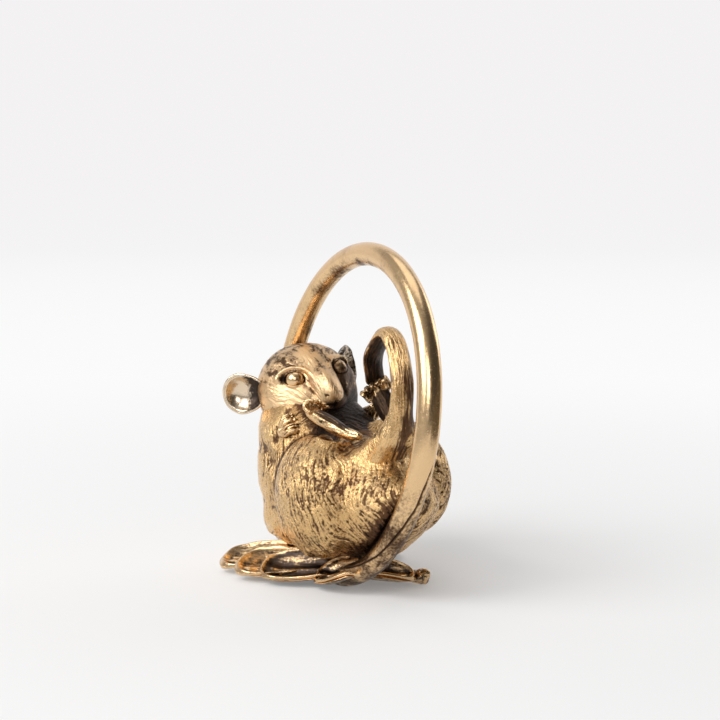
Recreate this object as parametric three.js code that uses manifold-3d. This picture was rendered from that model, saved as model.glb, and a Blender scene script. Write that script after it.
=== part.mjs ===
// A dormouse curled up inside an upright hoop, on a spray of leaves: a small cast and brazed brass ornament.
// Millimetres, +Z up. The origin is the middle of the flat that is filed on the foot of the hoop.
// The animal looks along +X, towards its own tail, and its left side is +Y.
import * as THREE from "three";
import { mergeVertices } from "three/addons/utils/BufferGeometryUtils.js";
import Module from "manifold-3d";

const wasm = await Module();
wasm.setup();
const DEGREE = Math.PI / 180;

// Clearance of every brazed seam: each casting is cut back this far from the one it sits on.
const SEAM = 0.3;

// Hoop: round rod bent to a ring, with its two ends halved and lapped side by side above the foot.
const ROD_DIAMETER = 2.8;
const HOOP_RADIUS = 19.2;
const HOOP_LEAN = 8 * DEGREE;
const FOOT_FILED = 0.5;
const LAP_LOW_ANGLE = -76 * DEGREE;
const LAP_HIGH_ANGLE = -9 * DEGREE;

// Torso: a long rump that lies along the inside of the hoop, and a chest that carries the head.
const RUMP_LIFT = 0.1;
const RUMP_FORWARD = 1.0;
const RUMP_ASIDE = 0.2;
const RUMP_LENGTH = 29.6;
const RUMP_WIDTH = 16.2;
const RUMP_BELOW = 8.0;
const RUMP_ABOVE = 7.3;
const RUMP_TAPER = 0.2;
const CHEST_BACK = 9.2;
const CHEST_RISE = 6.0;
const CHEST_LENGTH = 15.0;
const CHEST_WIDTH = 14.6;
const CHEST_BELOW = 14.6;
const CHEST_ABOVE = 4.4;
const CHEST_TAPER = -0.2;

// Haunches: a rounded thigh on each side of the rump, the left one a little higher.
const HAUNCH_FORWARD = 1.9;
const HAUNCH_OUT = 5.2;
const HAUNCH_TURN = 9 * DEGREE;
const HAUNCH_RISE = 0.9;
const HAUNCH_STAGGER = 0.7;
const HAUNCH_LENGTH = 17.0;
const HAUNCH_WIDTH = 9.8;
const HAUNCH_DEPTH = 14.4;

// The head, feet and paws are rolled together towards the animal's right.
const ROLL = 11 * DEGREE;
const ROLL_RISE = 4.8;

// Head: a skull with a snout, in a frame of its own with +X out of the snout.
const HEAD_BACK = 12.7;
const HEAD_RISE = 0.8;
const HEAD_PITCH = 3 * DEGREE;
const HEAD_LENGTH = 12.0;
const HEAD_WIDTH = 12.0;
const HEAD_DEPTH = 10.4;
const SNOUT_LENGTH = 2.0;
const MUZZLE_SWELL = 0.6;
const CHEEK_SWELL = 0.6;
const BROW_SWELL = 0.35;
const EYE_DIAMETER = 2.2;
const EYE_SUNK = 0.45;
const EAR_DIAMETER = 5.3;
const EAR_DISH = 1.2;
const EAR_WALL = 0.5;
const EAR_OUT = 2.0;
const EYE_TOWARDS = [0.76, 0.54, 0.36];
const EAR_TOWARDS = [-0.34, 0.94, 0.03];
const EAR_FACING = [0.64, 0.76, 0.1];

// Tail: rises from the rump beside the hoop and curls over towards the face.
const TAIL_ROOT_DIAMETER = 11.0;
const TAIL_DIAMETER = 2.9;
const TAIL_TIP_DIAMETER = 2.4;
const TAIL_FLATNESS = 0.74;
const TAIL_BACK = 12.4;
const TAIL_RISE = 19.6;
const TAIL_CURL_WIDTH = 8.6;
const TAIL_CURL_DROP = 5.8;
const TAIL_ROOT_FADE = 9;
const TAIL_SWAY = 1.8;
const TAIL_TIP_SWING = [-2.9, 1.1];

// Hind feet and forepaws. Places are given for the left one: forward, aside and up from the rolled frame.
const HEEL_RISE = 0.5;
const HEEL_PLACE = [6.6, 2.2];
const BALL_PLACE = [-0.8, 4.5, -0.3];
const LEFT_BALL_SHIFT = [2.6, -1.4, 1.1];
const FOOT_ACROSS = [0.46, 0.74, 0.49];
const FOOT_WIDTH = 2.9;
const FOOT_THICKNESS = 2.3;
const TOE_DIAMETER = 0.85;
const TOE_HOOK = 0.85;
const TOE_SUNK = 0.4;
const TOE_SPREAD = 0.8;
const TOE_BENDS = [0, 40, 80, 120, 165].map((angle) => angle * DEGREE);
const TOES = 5;
const SHOULDER_PLACE = [-9.0, 5.6, -4.6];
const ELBOW_PLACE = [-6.6, 5.9, -3.6];
const PALM_PLACE = [-5.7, 6.7, -2.7];
const PALM_ACROSS = [0.79, 0.2, -0.58];
const PALM_LIFT = 0.5;
const ARM_DIAMETER = 2.6;
const PAW_DIAMETER = 1.8;
const FINGER_TOWARDS = [0.49, -0.78, 0.38];
const FINGER_DIAMETER = 0.8;
const FINGER_LENGTH = 2.0;
const FINGERS = 4;

// Leaves and twig. Each leaf springs from the foot of the hoop or from the twig.
const LEAF_THICKNESS = 0.7;
const LEAF_DISH = 0.4;
const LEAF_EDGE = 0.6;
const LEAF_ROOT_WIDTH = 1.08;
const LEAF_TIP_WIDTH = 0.88;
const LEAF_BLUNT = 3;
const TWIG_DIAMETER = 1.7;
const BUD_DIAMETER = 2.2;
const TWIG_WAY = [[-5, -0.5], [-1, 1.4], [3.5, 3.2], [7.5, 5.8]];

const RIGHT = -1;
const LEFT = 1;

// Swellings of the head: direction from its middle, height, and how narrow each one is.
const HEAD_LOBES = [
  { towards: unit([1, -0.02, 0.02]), height: SNOUT_LENGTH, narrow: 16 },
  { towards: unit([1, -0.02, -0.1]), height: MUZZLE_SWELL, narrow: 5 },
  { towards: unit([0.62, 0.72, -0.3]), height: CHEEK_SWELL, narrow: 7 },
  { towards: unit([0.5, -0.8, -0.4]), height: CHEEK_SWELL / 2, narrow: 7 },
  { towards: unit([0.75, 0.5, 0.5]), height: BROW_SWELL, narrow: 14 },
  { towards: unit([0.75, -0.5, 0.5]), height: BROW_SWELL, narrow: 14 },
];

// Each leaf: how far forward, x, it leaves the hoop or the twig, and where its tip lies above the table.
// Tilt turns it about its midrib, and then it is lifted until its lowest edge rests on the table.
const LEAVES = [
  { name: "leaf_rear_right", on: "hoop", x: -4.5, tip: [-9, -13.4, 0.2], width: 5.8, arch: 0.3, tilt: -19 },
  { name: "leaf_right", on: "hoop", x: -0.5, tip: [-4.6, -13.2, 0.2], width: 5.8, arch: 0, tilt: -23 },
  { name: "leaf_front_right", on: "hoop", x: 4, tip: [-2.4, -11, 0.2], width: 6.4, arch: -0.2, tilt: -25 },
  { name: "leaf_front", on: "hoop", x: 9.5, tip: [3.6, -6.8, 0.5], width: 5.4, arch: -0.1, tilt: -25 },
  { name: "leaf_tail", on: "hoop", x: 4.4, tip: [8.2, 4.7, 0.4], width: 3.3, arch: 0.5, tilt: 28 },
  { name: "leaf_left", on: "twig", x: -1.5, tip: [-9, 10.6, 0.1], width: 5.4, arch: 0.9, tilt: 18 },
  { name: "leaf_rear_left", on: "twig", x: -4.4, tip: [-14, 6.2, 0.1], width: 5.2, arch: 1.2, tilt: 18 },
];

// Brass: rubbed bright where it is handled, darker on the leaves and in the eyes.
const FINISHES = {
  rubbed: { color: 0xc59c58, roughness: 0.25, metalness: 1 },
  fur: { color: 0xb08746, roughness: 0.36, metalness: 1 },
  leaf: { color: 0x84683c, roughness: 0.38, metalness: 1 },
};

// Places that follow from the sizes.
const rodRadius = ROD_DIAMETER / 2;
const footHeight = rodRadius - FOOT_FILED;
const midPlane = HOOP_RADIUS * Math.sin(HOOP_LEAN);
const rumpHeight = footHeight + rodRadius + RUMP_LIFT + RUMP_BELOW;
const chestHeight = rumpHeight + CHEST_RISE;
const rollHeight = chestHeight + ROLL_RISE;
const rump = {
  centre: new THREE.Vector3(RUMP_FORWARD, RUMP_ASIDE, rumpHeight),
  length: RUMP_LENGTH,
  width: RUMP_WIDTH,
  above: RUMP_ABOVE,
  below: RUMP_BELOW,
  taper: RUMP_TAPER,
};
const chest = {
  centre: new THREE.Vector3(-CHEST_BACK, 0, chestHeight),
  length: CHEST_LENGTH,
  width: CHEST_WIDTH,
  above: CHEST_ABOVE,
  below: CHEST_BELOW,
  taper: CHEST_TAPER,
};
const skull = ellipsoid([0, 0, 0], [HEAD_LENGTH, HEAD_WIDTH, HEAD_DEPTH]);

function unit(xyz) {
  return new THREE.Vector3(...xyz).normalize();
}

// A place or direction that is given for the animal's left, on the left or the right.
function onSide([x, y, z], side) {
  return new THREE.Vector3(x, side * y, z);
}

function ellipsoid(centre, sizes) {
  return { centre: new THREE.Vector3(...centre), half: new THREE.Vector3(...sizes).multiplyScalar(0.5) };
}

// Distance from an ellipsoid's middle to its surface along a unit vector.
function reach({ half }, n) {
  return 1 / Math.hypot(n.x / half.x, n.y / half.y, n.z / half.z);
}

// The point of an ellipsoid's surface in a direction, sunk by a depth or standing out if it is negative.
function surfacePoint(body, towards, sunk) {
  const n = towards.clone().normalize();
  return n.multiplyScalar(reach(body, n) - sunk).add(body.centre);
}

// A globe with its poles on the X axis, each point pushed out to a radius that depends on its direction.
function globe(radiusAt, around, along) {
  const geometry = new THREE.SphereGeometry(1, around, along).rotateZ(-Math.PI / 2);
  const position = geometry.attributes.position;
  const n = new THREE.Vector3();
  for (let i = 0; i < position.count; i++) {
    n.fromBufferAttribute(position, i).normalize();
    n.multiplyScalar(radiusAt(n));
    position.setXYZ(i, n.x, n.y, n.z);
  }
  return geometry;
}

function ellipsoidForm({ centre, half }, grow, around, along) {
  return new THREE.SphereGeometry(1, around, along)
    .rotateZ(-Math.PI / 2)
    .scale(half.x + grow, half.y + grow, half.z + grow)
    .translate(centre.x, centre.y, centre.z);
}

// A flattened oval from one point to another, with its width across a given direction.
function oval(from, to, across, width, thickness, grow) {
  const along = to.clone().sub(from);
  const flatwise = across.clone().projectOnPlane(along.clone().normalize()).normalize();
  const basis = new THREE.Matrix4().makeBasis(
    along.clone().normalize(),
    flatwise,
    along.clone().normalize().cross(flatwise),
  );
  const middle = from.clone().add(to).multiplyScalar(0.5);
  return new THREE.SphereGeometry(1, 12, 10)
    .rotateZ(-Math.PI / 2)
    .scale(along.length() / 2 + grow, width / 2 + grow, thickness / 2 + grow)
    .applyMatrix4(basis)
    .translate(middle.x, middle.y, middle.z);
}

// A limb along a curve, with domed ends. radiusAt gives its radius from 0 at its root to 1 at its end, and
// flatness its thickness as a share of its width.
function limb(points, radiusAt, grow, sides, steps, flatness = 1) {
  const curve = new THREE.CatmullRomCurve3(points);
  const frames = curve.computeFrenetFrames(steps, false);
  const rings = [];
  const addRing = (step, rise) => {
    const width = radiusAt(step / steps) + grow;
    const thickness = radiusAt(step / steps) * flatness + grow;
    const centre = curve.getPointAt(step / steps);
    centre.addScaledVector(frames.tangents[step], width * Math.sin(rise));
    for (let side = 0; side < sides; side++) {
      const angle = (2 * Math.PI * side) / sides;
      const point = centre.clone();
      point.addScaledVector(frames.normals[step], width * Math.cos(rise) * Math.cos(angle));
      point.addScaledVector(frames.binormals[step], thickness * Math.cos(rise) * Math.sin(angle));
      rings.push(point);
    }
  };
  const rootRadius = radiusAt(0) + grow;
  const endRadius = radiusAt(1) + grow;
  const dome = [60 * DEGREE, 30 * DEGREE];
  for (const rise of dome) addRing(0, -rise);
  for (let step = 0; step <= steps; step++) addRing(step, 0);
  for (const rise of [...dome].reverse()) addRing(steps, rise);
  const rootPole = curve.getPointAt(0).addScaledVector(frames.tangents[0], -rootRadius);
  const endPole = curve.getPointAt(1).addScaledVector(frames.tangents[steps], endRadius);
  const vertices = [...rings, rootPole, endPole];
  const index = [];
  for (let side = 0; side < sides; side++) {
    const next = (side + 1) % sides;
    for (let ring = 0; ring + sides < rings.length; ring += sides) {
      const beyond = ring + sides;
      index.push(ring + side, ring + next, beyond + next, ring + side, beyond + next, beyond + side);
    }
    const last = rings.length - sides;
    index.push(rings.length, next, side, last + side, last + next, rings.length + 1);
  }
  return new THREE.BufferGeometry().setFromPoints(vertices).setIndex(index);
}

// Closed geometry to a solid, and back.
function solidOf(geometry, matrix = new THREE.Matrix4()) {
  const bare = geometry.clone().applyMatrix4(matrix);
  bare.deleteAttribute("normal");
  bare.deleteAttribute("uv");
  const merged = mergeVertices(bare, 1e-4);
  const vertProperties = merged.attributes.position.array;
  const triVerts = new Uint32Array(merged.index.array);
  return new wasm.Manifold(new wasm.Mesh({ numProp: 3, vertProperties, triVerts }));
}

function geometryOf(solid) {
  const { vertProperties, triVerts } = solid.getMesh();
  const geometry = new THREE.BufferGeometry();
  geometry.setAttribute("position", new THREE.BufferAttribute(new Float32Array(vertProperties), 3));
  geometry.setIndex(new THREE.BufferAttribute(new Uint32Array(triVerts), 1));
  return geometry;
}

function joined(geometries) {
  return geometryOf(geometries.map((geometry) => solidOf(geometry)).reduce((whole, next) => whole.add(next)));
}

// Frames: the hoop leans about its foot, and the forequarters roll about the line of the chest.
const figure = new THREE.Group();
const hoopFrame = new THREE.Group();
hoopFrame.position.set(0, 0, footHeight);
hoopFrame.rotation.x = -HOOP_LEAN;
const mouse = new THREE.Group();
mouse.position.set(0, midPlane, 0);
const forequarters = new THREE.Group();
forequarters.position.set(0, 0, rollHeight);
forequarters.rotation.x = ROLL;
const headFrame = new THREE.Group();
headFrame.position.set(-HEAD_BACK, 0, HEAD_RISE);
headFrame.rotation.y = HEAD_PITCH;
figure.add(hoopFrame, mouse);
mouse.add(forequarters);
forequarters.add(headFrame);

// Everything is level underneath: what would reach below the table is filed off.
const TABLE_SIZE = 200;
const belowTable = new THREE.BoxGeometry(TABLE_SIZE, TABLE_SIZE, TABLE_SIZE).translate(0, 0, -TABLE_SIZE / 2);
const cutters = [solidOf(belowTable)];

// Adds a casting. It is cut back by a seam from each casting before it, and loose off-cuts fall away.
function addPiece(parent, name, finish, form, place = {}) {
  const mesh = new THREE.Mesh(undefined, new THREE.MeshStandardMaterial(FINISHES[finish]));
  mesh.name = name;
  if (place.position) mesh.position.copy(place.position);
  if (place.quaternion) mesh.quaternion.copy(place.quaternion);
  parent.add(mesh);
  figure.updateMatrixWorld(true);
  const whole = solidOf(form(0), mesh.matrixWorld);
  const bodies = cutters.reduce((solid, cutter) => solid.subtract(cutter), whole).decompose();
  const largest = bodies.reduce((best, body) => (body.volume() > best.volume() ? body : best));
  mesh.geometry = geometryOf(largest).applyMatrix4(mesh.matrixWorld.clone().invert());
  cutters.push(solidOf(form(SEAM), mesh.matrixWorld));
}

// Hoop. The lap is a slit between the two half-rods, open at the end of each.
function hoopForm(grow) {
  const ring = new THREE.TorusGeometry(HOOP_RADIUS, rodRadius + grow, 12, 64)
    .rotateX(Math.PI / 2)
    .translate(0, 0, HOOP_RADIUS);
  return grow > 0 ? ring : geometryOf(solidOf(ring).subtract(solidOf(lapSlit())));
}

function lapSlit() {
  const past = rodRadius;
  const inner = HOOP_RADIUS - rodRadius - past;
  const outer = HOOP_RADIUS + rodRadius + past;
  const sector = new THREE.Shape();
  sector.absarc(0, 0, outer, LAP_LOW_ANGLE, LAP_HIGH_ANGLE, false);
  sector.absarc(0, 0, inner, LAP_HIGH_ANGLE, LAP_LOW_ANGLE, true);
  const wall = new THREE.ExtrudeGeometry(sector, { depth: SEAM, bevelEnabled: false, curveSegments: 20 });
  wall.translate(0, 0, -SEAM / 2);
  const notch = (angle, side) =>
    new THREE.BoxGeometry(outer - inner, SEAM, rodRadius + past)
      .translate(HOOP_RADIUS, 0, (side * (rodRadius + past)) / 2)
      .rotateZ(angle);
  return joined([wall, notch(LAP_LOW_ANGLE, 1), notch(LAP_HIGH_ANGLE, -1)])
    .rotateX(Math.PI / 2)
    .translate(0, 0, HOOP_RADIUS);
}

addPiece(hoopFrame, "hoop", "rubbed", hoopForm);

// An egg with its own height above and below its widest level, which narrows downwards by a taper.
function egg({ centre, length, width, above, below, taper }, grow, around, along) {
  const shape = new THREE.SphereGeometry(1, around, along).rotateZ(-Math.PI / 2);
  const position = shape.attributes.position;
  for (let i = 0; i < position.count; i++) {
    const height = position.getZ(i);
    const narrowing = 1 + taper * Math.min(height, 0);
    position.setXYZ(
      i,
      position.getX(i) * (length / 2 + grow) * narrowing,
      position.getY(i) * (width / 2 + grow) * narrowing,
      height * ((height < 0 ? below : above) + grow),
    );
  }
  return shape.translate(centre.x, centre.y, centre.z);
}

// Torso and haunches.
function torsoForm(grow) {
  return joined([
    egg(rump, grow, 26, 16),
    egg(chest, grow, 20, 14),
  ]);
}

addPiece(mouse, "torso", "fur", torsoForm);

for (const [name, side] of [["right_haunch", RIGHT], ["left_haunch", LEFT]]) {
  const rise = HAUNCH_RISE + side * HAUNCH_STAGGER;
  const haunch = ellipsoid([0, 0, 0], [HAUNCH_LENGTH, HAUNCH_WIDTH, HAUNCH_DEPTH]);
  addPiece(mouse, name, "fur", (grow) => ellipsoidForm(haunch, grow, 22, 14), {
    position: new THREE.Vector3(HAUNCH_FORWARD, RUMP_ASIDE + side * HAUNCH_OUT, rumpHeight + rise),
    quaternion: new THREE.Quaternion().setFromAxisAngle(new THREE.Vector3(0, 0, side), HAUNCH_TURN),
  });
}

// Tail: a broad root on the rump, a straight rise beside the hoop and a curl that drops towards the face.
function tailForm(grow) {
  const top = rumpHeight + TAIL_RISE;
  const front = TAIL_BACK - TAIL_CURL_WIDTH;
  const path = [
    [TAIL_BACK - 6.9, rumpHeight + RUMP_ABOVE - 4.7],
    [TAIL_BACK - 2.2, rumpHeight + RUMP_ABOVE - 0.9],
    [TAIL_BACK - 0.2, rumpHeight + RUMP_ABOVE + 2.1],
    [TAIL_BACK + 0.2, rumpHeight + TAIL_RISE * 0.7],
    [TAIL_BACK - 1.2, top - 2],
    [TAIL_BACK - TAIL_CURL_WIDTH / 2, top],
    [front + 0.3, top - TAIL_CURL_DROP / 2],
    [front, top - TAIL_CURL_DROP],
  ].map(([x, z], i, { length }) => {
    const sway = TAIL_SWAY * (i / (length - 1) - 1 / 3);
    const swing = Math.max(0, 1 - (length - 1 - i) / 2);
    return new THREE.Vector3(x + TAIL_TIP_SWING[0] * swing, RUMP_ASIDE + sway + TAIL_TIP_SWING[1] * swing, z);
  });
  const radiusAt = (share) => {
    const root = (TAIL_ROOT_DIAMETER - TAIL_DIAMETER) * Math.exp(-share * TAIL_ROOT_FADE);
    return (TAIL_DIAMETER + (TAIL_TIP_DIAMETER - TAIL_DIAMETER) * share + root) / 2;
  };
  return limb(path, radiusAt, grow, 12, 28, TAIL_FLATNESS);
}

addPiece(mouse, "tail", "fur", tailForm);

// Head, with the eyes set in it and the ears on it.
function headForm(grow) {
  return globe((n) => {
    const swelling = HEAD_LOBES.reduce(
      (sum, lobe) => sum + lobe.height * Math.exp(lobe.narrow * (n.dot(lobe.towards) - 1)),
      0,
    );
    return reach(skull, n) + swelling + grow;
  }, 22, 18);
}

function eyeForm(grow) {
  return new THREE.SphereGeometry(EYE_DIAMETER / 2 + grow, 12, 8);
}

// An ear is a dish turned about Z and open along +Z.
function earForm(grow) {
  const rim = EAR_DIAMETER / 2 + grow;
  const back = EAR_DISH + grow;
  const mouth = EAR_DIAMETER / 2 - EAR_WALL;
  const outline = [];
  const hollow = (share) => 1 - share ** 3;
  for (const share of [0, 0.25, 0.5, 0.75, 1]) {
    outline.push(new THREE.Vector2(rim * share, -back * hollow(share)));
  }
  for (const share of [1, 0.75, 0.5, 0.25, 0]) {
    outline.push(new THREE.Vector2(mouth * share, grow + EAR_WALL - EAR_DISH * hollow(share)));
  }
  return new THREE.LatheGeometry(outline, 18).rotateX(Math.PI / 2);
}

for (const [name, side] of [["right_eye", RIGHT], ["left_eye", LEFT]]) {
  addPiece(headFrame, name, "rubbed", eyeForm, {
    position: surfacePoint(skull, onSide(EYE_TOWARDS, side), EYE_SUNK),
  });
}

addPiece(headFrame, "head", "fur", headForm);

for (const [name, side] of [["right_ear", RIGHT], ["left_ear", LEFT]]) {
  const facing = onSide(EAR_FACING, side).normalize();
  addPiece(headFrame, name, "rubbed", earForm, {
    position: surfacePoint(skull, onSide(EAR_TOWARDS, side), -EAR_OUT),
    quaternion: new THREE.Quaternion().setFromUnitVectors(new THREE.Vector3(0, 0, 1), facing),
  });
}

// Hind feet: a slender foot from heel to ball, with a fan of toes.
function footForm(side, grow) {
  const heel = onSide([...HEEL_PLACE, rumpHeight + RUMP_ABOVE + HEEL_RISE - rollHeight], side);
  const ball = onSide(BALL_PLACE, side);
  if (side === LEFT) ball.add(new THREE.Vector3(...LEFT_BALL_SHIFT));
  const across = onSide(FOOT_ACROSS, side);
  const along = ball.clone().sub(heel).normalize();
  const shapes = [oval(heel, ball, across, FOOT_WIDTH, FOOT_THICKNESS, grow)];
  const spread = across.clone().projectOnPlane(along).normalize();
  const sole = along.clone().cross(spread).multiplyScalar(-side);
  for (let toe = 0; toe < TOES; toe++) {
    const share = toe / (TOES - 1) - 0.5;
    const place = share * (FOOT_WIDTH - TOE_DIAMETER);
    const root = ball.clone().addScaledVector(along, -TOE_SUNK).addScaledVector(spread, place);
    const fan = along.clone().addScaledVector(spread, share * TOE_SPREAD);
    const hook = TOE_BENDS.map((bend) => {
      const out = root.clone().addScaledVector(fan, TOE_HOOK * Math.sin(bend));
      return out.addScaledVector(sole, TOE_HOOK * (1 - Math.cos(bend)));
    });
    shapes.push(limb(hook, () => TOE_DIAMETER / 2, grow, 6, 5));
  }
  return joined(shapes);
}

for (const [name, side] of [["right_hind_foot", RIGHT], ["left_hind_foot", LEFT]]) {
  addPiece(forequarters, name, "rubbed", (grow) => footForm(side, grow));
}

// Forepaws: an arm from the chest, a small palm and the fingers, tucked under the chin.
function forepawForm(side, grow) {
  const shoulder = onSide(SHOULDER_PLACE, side);
  const elbow = onSide(ELBOW_PLACE, side);
  const palm = onSide(PALM_PLACE, side);
  const towards = onSide(FINGER_TOWARDS, side).normalize();
  const across = onSide(PALM_ACROSS, side).projectOnPlane(towards).normalize();
  const knuckles = palm.clone().addScaledVector(towards.clone().cross(across), side * PALM_LIFT);
  const armRadius = (share) => (ARM_DIAMETER + (PAW_DIAMETER - ARM_DIAMETER) * share) / 2;
  const shapes = [limb([shoulder, elbow, palm], armRadius, grow, 10, 8)];
  for (let finger = 0; finger < FINGERS; finger++) {
    const share = finger / (FINGERS - 1) - 0.5;
    const root = knuckles.clone().addScaledVector(across, share * PAW_DIAMETER);
    const tip = root.clone().addScaledVector(towards, FINGER_LENGTH);
    shapes.push(limb([root, tip], () => FINGER_DIAMETER / 2, grow, 6, 2));
  }
  return joined(shapes);
}

for (const [name, side] of [["right_forepaw", RIGHT], ["left_forepaw", LEFT]]) {
  addPiece(forequarters, name, "fur", (grow) => forepawForm(side, grow));
}

// Twig: lies under the rump and ends in a knobbly bud.
const twigHeight = TWIG_DIAMETER / 2;
const twigWay = TWIG_WAY.map(([x, y]) => new THREE.Vector3(x, y, twigHeight));

function twigForm(grow) {
  const end = twigWay[twigWay.length - 1];
  const bud = new THREE.SphereGeometry(BUD_DIAMETER / 2 + grow, 8, 6).translate(end.x, end.y, end.z);
  return joined([limb(twigWay, () => TWIG_DIAMETER / 2, grow, 8, 10), bud]);
}

addPiece(mouse, "twig", "leaf", twigForm);

// How much wider a blunt outline is than a round one, from -1 at its root to 1 at its tip.
function bluntness(along) {
  const round = Math.sqrt(Math.max(1 - along ** 2, 0));
  return round > 0 ? Math.max(1 - Math.abs(along) ** LEAF_BLUNT, 0) ** (1 / LEAF_BLUNT) / round : 0;
}

// A leaf in its own frame: its root at the origin, +X towards its tip, arched and dished.
function leafForm(length, drop, { width, arch }, grow) {
  const blade = new THREE.SphereGeometry(1, 12, 12).rotateZ(-Math.PI / 2);
  const position = blade.attributes.position;
  for (let i = 0; i < position.count; i++) {
    const share = (position.getX(i) + 1) / 2;
    const taper = THREE.MathUtils.lerp(LEAF_ROOT_WIDTH, LEAF_TIP_WIDTH, share);
    const across = position.getY(i) * bluntness(position.getX(i)) * taper;
    const thick = Math.sign(position.getZ(i)) * Math.abs(position.getZ(i)) ** LEAF_EDGE;
    const spine = -drop * share + arch * Math.sin(Math.PI * share) + LEAF_DISH * across ** 2;
    position.setXYZ(
      i,
      length / 2 + position.getX(i) * (length / 2 + grow),
      across * (width / 2 + grow),
      thick * (LEAF_THICKNESS / 2 + grow) + spine,
    );
  }
  return blade;
}

// The middle of the hoop's rod, or of the twig, at a place forward of the origin, in the animal's frame.
function leafRoot({ on, x }) {
  if (on === "hoop") {
    const turn = Math.asin(x / HOOP_RADIUS);
    const point = new THREE.Vector3(x, 0, HOOP_RADIUS * (1 - Math.cos(turn)));
    return mouse.worldToLocal(hoopFrame.localToWorld(point));
  }
  const beyond = twigWay.findIndex((point) => point.x > x);
  const [before, after] = [twigWay[beyond - 1], twigWay[beyond]];
  return before.clone().lerp(after, (x - before.x) / (after.x - before.x));
}

for (const leaf of LEAVES) {
  const root = leafRoot(leaf);
  const along = new THREE.Vector3(...leaf.tip).sub(root);
  const length = Math.hypot(along.x, along.y);
  const heading = new THREE.Euler(leaf.tilt * DEGREE, 0, Math.atan2(along.y, along.x), "ZYX");
  const quaternion = new THREE.Quaternion().setFromEuler(heading);
  const form = (grow) => leafForm(length, -along.z, leaf, grow);
  const laid = form(0).applyQuaternion(quaternion);
  laid.computeBoundingBox();
  const position = root.clone().setZ(Math.max(root.z, -laid.boundingBox.min.z));
  addPiece(mouse, leaf.name, "leaf", form, { position, quaternion });
}

export default figure;
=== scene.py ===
from math import asin, atan2, cos, exp, pi, radians, sin, tan

import bmesh
import bpy
import numpy as np
from mathutils import Matrix, Vector, noise


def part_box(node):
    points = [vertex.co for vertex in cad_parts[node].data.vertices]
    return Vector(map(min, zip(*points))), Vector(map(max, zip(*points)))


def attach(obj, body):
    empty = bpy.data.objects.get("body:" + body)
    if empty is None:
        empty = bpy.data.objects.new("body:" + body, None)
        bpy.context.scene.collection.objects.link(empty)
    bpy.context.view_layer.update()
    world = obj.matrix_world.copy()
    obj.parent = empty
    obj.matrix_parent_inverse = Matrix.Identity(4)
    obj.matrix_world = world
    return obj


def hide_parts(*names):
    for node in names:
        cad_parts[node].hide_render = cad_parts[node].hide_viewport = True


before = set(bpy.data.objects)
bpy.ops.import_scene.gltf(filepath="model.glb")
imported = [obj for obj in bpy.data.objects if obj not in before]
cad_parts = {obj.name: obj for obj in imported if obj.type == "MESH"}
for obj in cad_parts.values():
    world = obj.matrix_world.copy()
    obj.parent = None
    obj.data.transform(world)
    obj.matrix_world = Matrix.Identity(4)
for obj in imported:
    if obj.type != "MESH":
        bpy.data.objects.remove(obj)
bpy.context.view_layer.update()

# Hoop: a round brass rod bent to a ring and rubbed bright. Its ends are scarfed and brazed together: the
# scarf winds round the rod from its outer edge above to its inner edge near the foot, where one end is blunt.
MM = 0.001
ROD_RADIUS, ROD_SIDES, RING_STEPS = 1.4, 96, 480
FOOT_FILED, HOOP_LEAN = 0.5, radians(8)
hoop_low, hoop_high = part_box("hoop")
HOOP_RADIUS = (hoop_high.x - hoop_low.x) / (2 * MM) - ROD_RADIUS
hoop_place = (
    Matrix.Translation((0, 0, ROD_RADIUS - FOOT_FILED))
    @ Matrix.Rotation(-HOOP_LEAN, 4, "X")
    @ Matrix.Translation((0, 0, HOOP_RADIUS))
)
SCARF_TOP, SCARF_FOOT = radians(-9), radians(-76)
SCARF_TURN_TOP, SCARF_TURN_FOOT = radians(-38), radians(135)
SCARF_WIDTH, SCARF_DEPTH, SCARF_STEP = 0.09, 0.3, 0.16
SCARF_WAVER, ROD_DENTS = [(0.13, 2.4), (0.06, 0.7)], [(0.02, 3.0), (0.006, 0.5)]
CLOUD_PER_MM, STAIN_PER_MM, GRAIN_PER_MM = 0.42, 0.23, 3.2
HAIR_PER_MM, HAIR_RELIEF = (0.5, 3.1, 1.0), 0.25 * MM
# The last colour is the black of the deepest patina and of painted shade, such as under the chin.
VIOLET, OLIVE, BLACK_SHADE_AND_PATINA = [0.4, 0.2, 0.15, 1], [0.4, 0.33, 0.16, 1], [0.02, 0.013, 0.009, 1]


class Tone:
    """A number that varies over a surface. Sums, differences and products of tones add Math nodes."""

    def __init__(self, finish, socket):
        self.finish = finish
        self.socket = socket

    def worked(self, operation, first, second):
        return self.finish.node("ShaderNodeMath", {"operation": operation}, {0: first, 1: second})

    def __add__(self, other):
        return self.worked("ADD", self, other)

    def __sub__(self, other):
        return self.worked("SUBTRACT", self, other)

    def __mul__(self, other):
        return self.worked("MULTIPLY", self, other)

    __radd__ = __add__
    __rmul__ = __mul__

    def __rsub__(self, other):
        return self.worked("SUBTRACT", other, self)


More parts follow.
